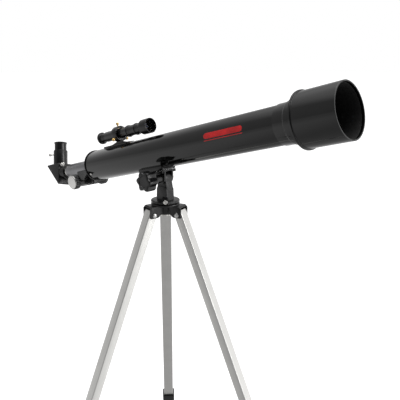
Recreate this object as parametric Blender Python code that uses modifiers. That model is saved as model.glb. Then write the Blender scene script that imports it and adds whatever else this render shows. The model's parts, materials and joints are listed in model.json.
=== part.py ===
"""A small refracting telescope on an alt-azimuth head and a folding aluminium tripod.

Metres, +Z up.  +X is the way the telescope points in plan, and the origin is on the floor under the
middle of the whole object.  Pieces of the optical tube are drawn in the tube's own frame: X is up and
away from the tube's axis, Y is the side of the clamp knob, and Z runs forward along the axis from the
point over the tripod's centre.
"""

import math

import bmesh
import bpy
from mathutils import Matrix, Vector

# ---------------------------------------------------------------- driving dimensions (metres, degrees)
GAP = 0.0003                      # running clearance between touching pieces
CLEAR = 0.0100                    # how far a cutter reaches past what it cuts
ALTITUDE = 14.5                   # tube's rise over the horizon at rest
TRIPOD_TURN = 15.5                # first leg's heading from +X

TUBE_RADIUS = 0.0285
TUBE_WALL = 0.0012
TUBE_REAR = -0.190
TUBE_FRONT = 0.250
PIVOT_BELOW = 0.0445              # altitude axis under the tube's axis
PIVOT_BEHIND = 0.0115             # altitude axis behind the tube frame's origin

CAP_LIP = 0.0012                  # rear cap's lip beyond the tube
CAP_LIP_LENGTH = 0.0025
CAP_PLUG_LENGTH = 0.012
CAP_SLEEVE_LENGTH = 0.009
CAP_SLEEVE_WALL = 0.0030

DRAW_RADIUS = 0.0140
DRAW_WALL = 0.0012
DRAW_REAR = -0.281
DRAW_LENGTH = 0.136
RACK_HEIGHT = 0.0024
RACK_WIDTH = 0.0060
RACK_LENGTH = 0.112
RACK_TEETH = 28
TOOTH_DEPTH = 0.0011
PINION_ALONG = -0.228
PINION_RADIUS = 0.0056
PINION_TEETH = 12
PINION_SHAFT = 0.0020
PINION_BOX_HALF = 0.0155
PINION_BOX_WALL = 0.0035
PINION_BOX_TOP = -0.0040           # its upper edge, under the tube's axis
PINION_BOX_MARGIN = 0.0070        # wall behind the pinion's room
PINION_ROOM = PINION_RADIUS + 0.0008
KNOB_NECK_RADIUS = 0.0062
KNOB_NECK_LENGTH = 0.0060
FOCUS_KNOB_RADIUS = 0.0142
FOCUS_KNOB_WIDTH = 0.0110
FOCUS_KNOB_INNER = 0.0275
FOCUS_CAP_THICKNESS = 0.0016

CELL_STEP = 0.0012                # first step of the front cell beyond the tube
CELL_STEP_LENGTH = 0.0125
CELL_NOSE_RADIUS = 0.0312
CELL_NOSE_LENGTH = 0.0200
CELL_OVERLAP = 0.0055
LENS_RADIUS = 0.0255
LENS_EDGE = 0.0026
LENS_CROWN = 0.0012
SHIELD_RADIUS = 0.0392
SHIELD_LIP = 0.0020
SHIELD_LIP_LENGTH = 0.0030
SHIELD_WALL = 0.0020
SHIELD_REAR = 0.2780
SHIELD_LENGTH = 0.0670

DIAGONAL_BEHIND = 0.0400          # eyepiece axis behind the draw tube's end
DIAGONAL_ROLL = 13.5
DIAGONAL_HALF_WIDTH = 0.0155
DIAGONAL_TOP = 0.0190
DIAGONAL_BOTTOM = 0.0235
DIAGONAL_FRONT = 0.0175
MIRROR_SETBACK = 0.0065
COVER_THICKNESS = 0.0016
NOSE_RADIUS = 0.0121
NOSE_WALL = 0.0012
NOSE_LENGTH = 0.0420
NOSE_SEAT = 0.0100
NOSE_SHOWS = 0.0080               # bright barrel left between the collar and the draw tube
COLLAR_RADIUS = 0.0150
MIRROR_HALF = 0.0120
MIRROR_THICKNESS = 0.0030
SCREW_RADIUS = 0.0013
HOLDER_RADIUS = 0.0142
HOLDER_TOP = 0.0484
EYEPIECE_RADIUS = 0.0121
EYEPIECE_TOP = 0.0660
EYEPIECE_LENGTH = 0.0400
EYEPIECE_RIM = 0.0013

FINDER_OVER_TUBE = 0.0477
FINDER_REAR = -0.1610
FINDER_FRONT = -0.0213
FINDER_RADIUS = 0.0094
FINDER_MOUTH = 0.0131
FINDER_WALL = 0.0011
FINDER_MOUTH_LENGTH = 0.0240
FINDER_EYE_RADIUS = 0.0110
FINDER_EYE_LENGTH = 0.0180
FINDER_RINGS = (-0.0570, -0.0790)
COLLAR_ALONG = -0.1080
COLLAR_LENGTH = 0.0130
COLLAR_WALL = 0.0026
COLLAR_ROOM = 0.0018              # slack round the finder that the adjusting screws take up
BRACKET_REAR = -0.1490
BRACKET_FRONT = -0.0820
BRACKET_HALF_WIDTH = 0.0100
BRACKET_PLATE = 0.0018
FIN_THICKNESS = 0.0040

SHOE_REAR = -0.0580
SHOE_FRONT = 0.0030
SHOE_HALF_WIDTH = 0.0160
SHOE_THICKNESS = 0.0030
SADDLE_REAR = -0.0600
SADDLE_FRONT = 0.0020
SADDLE_PLATE = 0.0024
SADDLE_FLANGE = 0.0024
CHEEK_THICKNESS = 0.0030
CHEEK_RADIUS = 0.0095
TONGUE_THICKNESS = 0.0144
ALTITUDE_BOLT = 0.0030
WASHER_RADIUS = 0.0062
WASHER_THICKNESS = 0.0020
KNOB_FACE = 0.0515                # outer face of the altitude knob, from the tripod's centre
KNOB_THICKNESS = 0.0210
KNOB_RADIUS = 0.0158
KNOB_LOBE = 0.0018
KNOB_LOBES = 6
KNOB_SHANK = 0.0072

YOKE_SHOULDER = 0.0119
YOKE_FOOT = 0.0130
YOKE_THICKNESS = 0.0165
YOKE_HEIGHT = 0.0374              # altitude axis over the turntable's top
YOKE_SHOULDER_DROP = 0.0180       # shoulders under the altitude axis
YOKE_CHAMFER = 0.0030
TURNTABLE_RADIUS = 0.0248
TURNTABLE_THICKNESS = 0.0038
TURNTABLE_GAP = 0.0024
LOCK_HEADING = -44.5
LOCK_REACH = 0.0252
LOCK_BOSS = 0.0095
STEM_RADIUS = 0.0060
STEM_BELOW_HUB = 0.0032
LOCK_SCREW_RADIUS = 0.0018
LOCK_SCREW_END = 0.0124           # inner end of the screw, from the azimuth axis
NUT_THICKNESS = 0.0042

CROWN_PLATE = 0.0034
CROWN_DEPTH = 0.0219              # underside of the arms below the crown's top
CROWN_REACH = 0.0365
CROWN_HUB = 0.0158
CROWN_HUB_DEPTH = 0.0180
ARM_CHEEK = 0.0020
ARM_ROOF = 0.0025
LEG_PIVOT_RADIUS = 0.0285
LEG_PIVOT_DROP = 0.0169

LEG_SPLAY = 21.2
LEG_WIDTH = 0.0204
LEG_DEPTH = 0.0148
LEG_OFFSET = 0.0012               # leg's middle outside its pivot
LEG_WALL = 0.0014
LEG_UPPER_LENGTH = 0.5600
LEG_TOP_OVER_PIVOT = 0.0060
LEG_LENGTH = 0.8300               # pivot to floor, along the leg, as set at rest
LOWER_INSERT = 0.2400             # lower leg left inside the upper leg at rest
LEG_BOLT = 0.0025
LEG_BOLT_HEAD = 0.0041
CLAMP_LENGTH = 0.0300
CLAMP_WALL = 0.0030
CLAMP_BELOW = 0.0040
FOOT_LENGTH = 0.0340
FOOT_WALL = 0.0035

ROUND = 32                        # segments of a large turned piece
SMALL_ROUND = 14


# ---------------------------------------------------------------- helpers
def clear_scene():
    for thing in list(bpy.data.objects):
        bpy.data.objects.remove(thing, do_unlink=True)


def collection(name):
    made = bpy.data.collections.new(name)
    bpy.context.scene.collection.children.link(made)
    return made


def material(name, colour, roughness, metallic=0.0):
    made = bpy.data.materials.new(name)
    made.use_nodes = True
    shader = made.node_tree.nodes["Principled BSDF"]
    shader.inputs["Base Color"].default_value = (*colour, 1.0)
    shader.inputs["Roughness"].default_value = roughness
    shader.inputs["Metallic"].default_value = metallic
    return made


def empty(name, parent=None, place=(0, 0, 0), turn=None):
    made = bpy.data.objects.new(name, None)
    made.empty_display_size = 0.02
    PARTS.objects.link(made)
    made.parent = parent
    made.matrix_local = Matrix.Translation(place) @ (turn or Matrix()).to_4x4()
    return made


def finish(name, mesh, parent, finish_name, place=(0, 0, 0), turn=None):
    """Put a mesh in the model as a named piece of its parent's frame."""
    made = bpy.data.objects.new(name, mesh)
    PARTS.objects.link(made)
    made.parent = parent
    made.matrix_local = Matrix.Translation(place) @ (turn or Matrix()).to_4x4()
    if finish_name:
        mesh.materials.append(FINISHES[finish_name])
    return made


def as_tool(thing):
    PARTS.objects.unlink(thing)
    TOOLS.objects.link(thing)
    thing.hide_render = True
    thing.display_type = "WIRE"


def combine(target, other, operation):
    as_tool(other)
    step = target.modifiers.new(operation.title(), "BOOLEAN")
    step.operation = operation
    step.object = other
    return target


def cut(target, other):
    return combine(target, other, "DIFFERENCE")


def join(target, other):
    return combine(target, other, "UNION")


def bevel(thing, width, segments=1):
    step = thing.modifiers.new("Bevel", "BEVEL")
    step.width = width
    step.segments = segments
    step.limit_method = "ANGLE"
    step.angle_limit = math.radians(40)
    return thing


def box(name, low, high, parent, finish_name=None, turn=None):
    """A box between two corners of its parent's frame."""
    shape = bmesh.new()
    bmesh.ops.create_cube(shape, size=1.0)
    size = [b - a for a, b in zip(low, high)]
    middle = Vector([(a + b) / 2 for a, b in zip(low, high)])
    bmesh.ops.scale(shape, vec=size, verts=shape.verts)
    bmesh.ops.translate(shape, vec=middle, verts=shape.verts)
    mesh = bpy.data.meshes.new(name)
    shape.to_mesh(mesh)
    shape.free()
    return finish(name, mesh, parent, finish_name, turn=turn)


def turned(name, outline, parent, finish_name=None, steps=ROUND, place=(0, 0, 0), turn=None):
    """Spin an outline of (radius, height) about Z.  It runs down its outer side, and an outline
    that does not start on the axis is closed into a ring."""
    mesh = bpy.data.meshes.new(name)
    edges = [(i, i + 1) for i in range(len(outline) - 1)]
    if outline[0][0] > 0:
        edges.append((len(outline) - 1, 0))
    mesh.from_pydata([(radius, 0, height) for radius, height in outline], edges, [])
    made = finish(name, mesh, parent, finish_name, place, turn)
    step = made.modifiers.new("Screw", "SCREW")
    step.steps = steps
    step.render_steps = steps
    step.use_merge_vertices = True
    step.merge_threshold = 0.00001
    step.use_smooth_shade = True
    return made


def rod(name, radius, low, high, parent, finish_name=None, steps=SMALL_ROUND, place=(0, 0, 0), turn=None):
    outline = [(0, high), (radius, high), (radius, low), (0, low)]
    return turned(name, outline, parent, finish_name, steps, place, turn)


def plate(name, outline, low, high, parent, finish_name=None, place=(0, 0, 0), turn=None):
    """A flat outline in XY, as thick as from low to high along Z."""
    curve = bpy.data.curves.new(name, "CURVE")
    curve.dimensions = "2D"
    curve.fill_mode = "BOTH"
    curve.extrude = (high - low) / 2
    line = curve.splines.new("POLY")
    line.points.add(len(outline) - 1)
    for point, (x, y) in zip(line.points, outline):
        point.co = (x, y, 0, 1)
    line.use_cyclic_u = True
    drawn = bpy.data.objects.new(name, curve)
    PARTS.objects.link(drawn)
    bpy.context.view_layer.update()
    flat = drawn.evaluated_get(bpy.context.evaluated_depsgraph_get())
    mesh = bpy.data.meshes.new_from_object(flat)
    bpy.data.objects.remove(drawn, do_unlink=True)
    shape = bmesh.new()
    shape.from_mesh(mesh)
    bmesh.ops.remove_doubles(shape, verts=shape.verts, dist=0.00001)
    bmesh.ops.translate(shape, vec=(0, 0, (low + high) / 2), verts=shape.verts)
    shape.to_mesh(mesh)
    shape.free()
    return finish(name, mesh, parent, finish_name, place, turn)


def arc(centre, radius, start, end, points):
    """Points along an arc, in degrees."""
    x, y = centre
    angles = [math.radians(start + (end - start) * i / (points - 1)) for i in range(points)]
    return [(x + radius * math.cos(a), y + radius * math.sin(a)) for a in angles]


def ring_outline(outer, inner, low, high):
    return [(outer, high), (outer, low), (inner, low), (inner, high)]


def about_x(degrees):
    return Matrix.Rotation(math.radians(degrees), 4, "X")


def about_y(degrees):
    return Matrix.Rotation(math.radians(degrees), 4, "Y")


def about_z(degrees):
    return Matrix.Rotation(math.radians(degrees), 4, "Z")


Z_TO_Y = about_x(-90)             # turns a piece drawn along Z so that it runs along +Y
Z_TO_X = about_y(90)
SIDE_PLATE = about_x(90)          # stands an XY outline up in XZ, its thickness along Y
PLATE_IN_XZ = Matrix(((1, 0, 0, 0), (0, 0, -1, 0), (0, 1, 0, 0), (0, 0, 0, 1)))


def knurled(radius, depth, ridges):
    """The outline of a knob with fine ridges round it."""
    points = []
    for i in range(ridges * 2):
        reach = radius - (depth if i % 2 else 0)
        angle = math.pi * i / ridges
        points.append((reach * math.cos(angle), reach * math.sin(angle)))
    return points


def lobed(radius, lobe, count, points=36):
    outline = []
    for i in range(points):
        angle = 2 * math.pi * i / points
        reach = radius + lobe * math.cos(count * angle)
        outline.append((reach * math.cos(angle), reach * math.sin(angle)))
    return outline


def thumbscrew(name, parent, turn, head_radius, head_low, head_high, stud_radius, stud_low,
               finish_name="nickel"):
    """A turned screw along its own Z: a stud, a neck and a head."""
    neck = head_radius * 0.62
    outline = [
        (0, head_high), (head_radius * 0.86, head_high), (head_radius, head_high - 0.0008),
        (head_radius, head_low + 0.0008), (head_radius * 0.86, head_low), (neck, head_low),
        (neck, head_low - 0.0012), (stud_radius, head_low - 0.0012), (stud_radius, stud_low), (0, stud_low),
    ]
    return turned(name, outline, parent, finish_name, SMALL_ROUND, turn=turn)


# ---------------------------------------------------------------- tripod
def crown(parent):
    """Three-armed casting that carries the turntable and the legs.  Its top is at Z = 0."""
    outline = ring_outline(TURNTABLE_RADIUS, STEM_RADIUS + GAP, -CROWN_PLATE, 0)
    body = turned("tripod_crown", outline, parent, "cast_black")
    hub = turned("crown_hub", ring_outline(CROWN_HUB, STEM_RADIUS + GAP, -CROWN_HUB_DEPTH, -CROWN_PLATE / 2),
                 parent, steps=ROUND)
    join(body, hub)
    half = LEG_WIDTH / 2 + GAP + ARM_CHEEK
    for i in range(3):
        turn = about_z(TRIPOD_TURN + 120 * i)
        reach = CROWN_REACH
        under = -CROWN_DEPTH
        outline = [(0.0125, -CROWN_PLATE / 2 - 0.0003), (0.0125, -CROWN_HUB_DEPTH + 0.002)]
        outline += arc((0.0235, under + 0.0060), 0.0060, 200, 270, 5)
        outline += [(reach - 0.001, under), (reach, under + 0.001), (reach, -0.0060)]
        outline += [(reach - 0.0040, -0.0022), (reach - 0.0120, -CROWN_PLATE / 2 - 0.0003)]
        arm = plate(f"crown_arm_{i}", outline, -half, half, parent, turn=turn @ SIDE_PLATE)
        room = box(f"crown_room_{i}", (CROWN_HUB + 0.0004, -LEG_WIDTH / 2 - GAP, under - CLEAR),
                   (reach + CLEAR, LEG_WIDTH / 2 + GAP, -CROWN_PLATE - ARM_ROOF + 0.0012), parent, turn=turn)
        bore = rod(f"crown_bore_{i}", LEG_BOLT + GAP, -half - CLEAR, half + CLEAR, parent,
                   turn=turn @ Matrix.Translation((LEG_PIVOT_RADIUS, 0, -LEG_PIVOT_DROP)) @ Z_TO_Y)
        join(body, arm)
        cut(body, room)
        cut(body, bore)
    return body


def leg(letter, crown_frame, index):
    """One folding, telescoping leg.  Its frame is on the pivot, and -Z runs down the leg."""
    azimuth = about_z(TRIPOD_TURN + 120 * index)
    hip = empty(f"hip_{letter}", crown_frame, turn=azimuth @ Matrix.Translation(
        (LEG_PIVOT_RADIUS, 0, -LEG_PIVOT_DROP)))
    frame = empty(f"leg_frame_{letter}", hip, turn=about_y(-LEG_SPLAY))
    shift = Vector((LEG_OFFSET, 0, 0))

    def tube(name, width, depth, wall, low, high):
        body = box(name, (-depth / 2 + shift.x, -width / 2, low), (depth / 2 + shift.x, width / 2, high),
                   frame, "leg_aluminium")
        bevel(body, 0.0012)
        inside = box(name + "_inside", (-depth / 2 + shift.x + wall, -width / 2 + wall, low - CLEAR),
                     (depth / 2 + shift.x - wall, width / 2 - wall, high + CLEAR), frame)
        return cut(body, inside)

    upper = tube(f"leg_upper_{letter}", LEG_WIDTH, LEG_DEPTH, LEG_WALL, -LEG_UPPER_LENGTH, LEG_TOP_OVER_PIVOT)
    cut(upper, rod(f"leg_bore_{letter}", LEG_BOLT + GAP, -LEG_WIDTH, LEG_WIDTH, frame, turn=Z_TO_Y))
    bolt_half = LEG_WIDTH / 2 + GAP + ARM_CHEEK + GAP
    head = LEG_BOLT_HEAD
    outline = [(0, bolt_half + 0.0022), (head * 0.6, bolt_half + 0.0022), (head, bolt_half + 0.0010),
               (head, bolt_half), (LEG_BOLT, bolt_half), (LEG_BOLT, -bolt_half), (head, -bolt_half),
               (head, -bolt_half - 0.0010), (head * 0.6, -bolt_half - 0.0022), (0, -bolt_half - 0.0022)]
    turned(f"leg_bolt_{letter}", outline, hip, "zinc", SMALL_ROUND, turn=Z_TO_Y)

    lower_width = LEG_WIDTH - 2 * (LEG_WALL + GAP)
    lower_depth = LEG_DEPTH - 2 * (LEG_WALL + GAP)
    lower_top = -LEG_UPPER_LENGTH + LOWER_INSERT
    slope = math.radians(LEG_SPLAY)
    floor_rise = (lower_depth / 2 + FOOT_WALL + LEG_OFFSET) * math.tan(slope)
    lower_low = -LEG_LENGTH + floor_rise + 0.004
    tube(f"leg_lower_{letter}", lower_width, lower_depth, LEG_WALL, lower_low, lower_top)

    def around(width, depth, margin, low, high):
        return ((-depth / 2 + shift.x - margin, -width / 2 - margin, low),
                (depth / 2 + shift.x + margin, width / 2 + margin, high))

    clamp_low = -LEG_UPPER_LENGTH - CLAMP_BELOW
    clamp = bevel(box(f"leg_clamp_{letter}", *around(LEG_WIDTH, LEG_DEPTH, CLAMP_WALL, clamp_low,
                                                     clamp_low + CLAMP_LENGTH), frame, "moulded_black"), 0.0015)
    cut(clamp, box(f"clamp_room_{letter}", *around(LEG_WIDTH, LEG_DEPTH, GAP, -LEG_UPPER_LENGTH - GAP,
                                                   0.0), frame))
    cut(clamp, box(f"clamp_mouth_{letter}", *around(lower_width, lower_depth, GAP, clamp_low - CLEAR,
                                                    -LEG_UPPER_LENGTH + 0.01), frame))
    screw_height = clamp_low + CLAMP_LENGTH * 0.55
    outer_face = LEG_DEPTH / 2 + LEG_OFFSET
    screw_turn = Matrix.Translation((outer_face, 0, screw_height)) @ Z_TO_X
    for target, name in ((clamp, "clamp"), (upper, "upper")):
        cut(target, rod(f"{name}_screw_hole_{letter}", 0.0020 + GAP, -LEG_WALL - 0.001, 0.02, frame,
                        turn=screw_turn))
    thumbscrew(f"leg_lock_screw_{letter}", frame, screw_turn, 0.0085, CLAMP_WALL + 0.0028,
               CLAMP_WALL + 0.0128, 0.0020, -LEG_WALL - GAP + 0.0004, "moulded_black")

    foot = box(f"leg_foot_{letter}", *around(lower_width, lower_depth, FOOT_WALL, -LEG_LENGTH - 0.02,
                                             lower_low + FOOT_LENGTH), frame, "rubber")
    bevel(foot, 0.0022)
    cut(foot, box(f"foot_room_{letter}", *around(lower_width, lower_depth, GAP, lower_low - GAP, 0.0), frame))
    floor_drop = -LEG_LENGTH * math.cos(slope)
    cut(foot, box(f"foot_floor_{letter}", (-1.0, -0.1, floor_drop - 0.1), (1.0, 0.1, floor_drop), hip))
    return frame


# ---------------------------------------------------------------- mount head
def head(crown_frame):
    """The turning yoke; its frame is on the altitude axis."""
    rise = TURNTABLE_GAP + TURNTABLE_THICKNESS + YOKE_HEIGHT
    frame = empty("azimuth_frame", crown_frame, place=(0, 0, rise))
    top = -YOKE_HEIGHT
    half = TONGUE_THICKNESS / 2
    outline = arc((0, 0), CHEEK_RADIUS, 200, -20, 15)
    outline += [(YOKE_SHOULDER, -YOKE_SHOULDER_DROP), (-YOKE_SHOULDER, -YOKE_SHOULDER_DROP)]
    yoke = plate("mount_yoke", outline, -half, half, frame, "cast_black", turn=SIDE_PLATE)
    right = [(YOKE_FOOT, top - 0.001), (YOKE_SHOULDER, -YOKE_SHOULDER_DROP),
             (YOKE_SHOULDER - YOKE_CHAMFER, -YOKE_SHOULDER_DROP + YOKE_CHAMFER + 0.001)]
    left = [(-x, height) for x, height in reversed(right)]
    body = plate("yoke_body", left + right, -YOKE_THICKNESS / 2, YOKE_THICKNESS / 2, frame, turn=SIDE_PLATE)
    table_low = top - TURNTABLE_THICKNESS
    table = turned("turntable", [(0, top), (TURNTABLE_RADIUS - 0.001, top), (TURNTABLE_RADIUS, top - 0.001),
                                 (TURNTABLE_RADIUS, table_low), (0, table_low)], frame)
    stem_low = table_low - TURNTABLE_GAP - CROWN_HUB_DEPTH - STEM_BELOW_HUB
    stem = rod("yoke_stem", STEM_RADIUS, stem_low, table_low + 0.001, frame)
    lock_turn = about_z(LOCK_HEADING)
    boss_high = table_low + LOCK_BOSS
    boss = box("lock_boss", (0, -LOCK_BOSS / 2, table_low + 0.0004), (LOCK_REACH, LOCK_BOSS / 2, boss_high),
               frame, turn=lock_turn)
    for piece in (body, table, stem, boss):
        join(yoke, piece)
    lock_height = table_low + LOCK_BOSS / 2
    lock_place = lock_turn @ Matrix.Translation((0, 0, lock_height)) @ Z_TO_X
    cut(yoke, rod("lock_hole", LOCK_SCREW_RADIUS + GAP, LOCK_SCREW_END - 0.0004, 0.05, frame,
                  turn=lock_place))
    cut(yoke, rod("altitude_hole", ALTITUDE_BOLT + GAP, -0.02, 0.02, frame, turn=Z_TO_Y))
    thumbscrew("azimuth_lock_screw", frame, lock_place, 0.0039, LOCK_REACH + 0.0016,
               LOCK_REACH + 0.0060, LOCK_SCREW_RADIUS, LOCK_SCREW_END)
    washer_high = table_low - GAP
    turned("azimuth_washer", ring_outline(0.0100, STEM_RADIUS + GAP, table_low - TURNTABLE_GAP + GAP,
                                          washer_high), frame, "nickel", 20)
    nut_high = table_low - TURNTABLE_GAP - CROWN_HUB_DEPTH - GAP
    nut = plate("azimuth_nut", lobed(0.0092, 0.0004, 6, 24), nut_high - NUT_THICKNESS, nut_high, frame,
                "nickel")
    cut(nut, rod("nut_hole", STEM_RADIUS + GAP, nut_high - 0.0030, nut_high + CLEAR, frame))
    return frame


def altitude_clamp(frame):
    """Knob with its bolt, washer and nut, along the altitude axis on the knob's side (-Y)."""
    side = about_x(90)                                   # drawn along Z, laid along -Y
    cheek_out = TONGUE_THICKNESS / 2 + GAP + CHEEK_THICKNESS
    washer_low = cheek_out + GAP
    turned("altitude_washer", ring_outline(WASHER_RADIUS, ALTITUDE_BOLT + GAP, washer_low,
                                           washer_low + WASHER_THICKNESS), frame, "nickel", 20, turn=side)
    shank_low = washer_low + WASHER_THICKNESS + GAP
    knob_low = KNOB_FACE - KNOB_THICKNESS
    knob = plate("altitude_knob", lobed(KNOB_RADIUS, KNOB_LOBE, KNOB_LOBES), knob_low, KNOB_FACE, frame,
                 "moulded_black", turn=side)
    bevel(knob, 0.0016)
    flare = KNOB_SHANK + 0.0015
    outline = [(0, knob_low + 0.002), (flare, knob_low + 0.002), (flare, knob_low),
               (KNOB_SHANK, knob_low - 0.002), (KNOB_SHANK, shank_low), (ALTITUDE_BOLT, shank_low),
               (ALTITUDE_BOLT, -cheek_out - 0.0055), (0, -cheek_out - 0.0055)]
    join(knob, turned("knob_shank", outline, frame, steps=20, turn=side))
    nut = plate("altitude_nut", arc((0, 0), 0.0062, 0, 300, 6), -cheek_out - GAP - 0.0045, -cheek_out - GAP,
                frame, "nickel", turn=side)
    cut(nut, rod("altitude_nut_hole", ALTITUDE_BOLT + GAP, -0.03, 0.0, frame, turn=side))
    return knob


# ---------------------------------------------------------------- optical tube
def tube_assembly(frame):
    turned("main_tube", ring_outline(TUBE_RADIUS, TUBE_RADIUS - TUBE_WALL, TUBE_REAR, TUBE_FRONT), frame,
           "tube_gloss")
    seat = TUBE_RADIUS + GAP
    step_front = TUBE_FRONT + CELL_STEP_LENGTH
    nose_front = step_front + CELL_NOSE_LENGTH
    bore = LENS_RADIUS + GAP
    lens_seat = TUBE_FRONT + 0.0100
    turned("front_cell", [
        (CELL_NOSE_RADIUS - 0.0006, nose_front), (CELL_NOSE_RADIUS, nose_front - 0.0006),
        (CELL_NOSE_RADIUS, step_front), (TUBE_RADIUS + CELL_STEP + 0.0003, step_front),
        (TUBE_RADIUS + CELL_STEP, step_front - 0.001), (TUBE_RADIUS + CELL_STEP, TUBE_FRONT - CELL_OVERLAP),
        (seat, TUBE_FRONT - CELL_OVERLAP), (seat, TUBE_FRONT + GAP), (bore - 0.0016, TUBE_FRONT + GAP),
        (bore - 0.0016, lens_seat), (bore, lens_seat), (bore, nose_front)], frame, "moulded_black")

    edge = LENS_EDGE / 2
    flint_low = lens_seat + GAP
    flint_high = flint_low + LENS_EDGE
    bulge = LENS_CROWN

    def lens(name, low, high, low_bulge, high_bulge, radius=LENS_RADIUS, steps=24):
        shares = (0, 0.35, 0.7, 1.0)
        top = [(radius * s, high + high_bulge * (1 - s * s)) for s in shares]
        under = [(radius * s, low - low_bulge * (1 - s * s)) for s in reversed(shares)]
        return turned(name, top + under, frame, "optical_glass", steps)

    lens("flint_lens", flint_low, flint_high, 0.0, -bulge)
    crown_low = flint_high + GAP
    crown_high = crown_low + LENS_EDGE + edge
    lens("crown_lens", crown_low, crown_high, bulge, bulge)
    ring_low = crown_high + GAP
    turned("lens_ring", ring_outline(LENS_RADIUS, LENS_RADIUS - 0.0022, ring_low, ring_low + 0.0030), frame,
           "moulded_black", 24)

    mouth = SHIELD_REAR + SHIELD_LENGTH
    rim = SHIELD_RADIUS + SHIELD_LIP
    inner = SHIELD_RADIUS - SHIELD_WALL
    turned("dew_shield", [
        (SHIELD_RADIUS - 0.0007, mouth), (SHIELD_RADIUS, mouth - 0.0007),
        (SHIELD_RADIUS, SHIELD_REAR + SHIELD_LIP_LENGTH), (rim - 0.0006, SHIELD_REAR + SHIELD_LIP_LENGTH),
        (rim, SHIELD_REAR + SHIELD_LIP_LENGTH - 0.0006), (rim, SHIELD_REAR + 0.0006),
        (rim - 0.0006, SHIELD_REAR), (CELL_NOSE_RADIUS + GAP, SHIELD_REAR),
        (CELL_NOSE_RADIUS + GAP, SHIELD_REAR + SHIELD_LIP_LENGTH), (inner, SHIELD_REAR + SHIELD_LIP_LENGTH),
        (inner, mouth)], frame, "moulded_black", 36)


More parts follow.
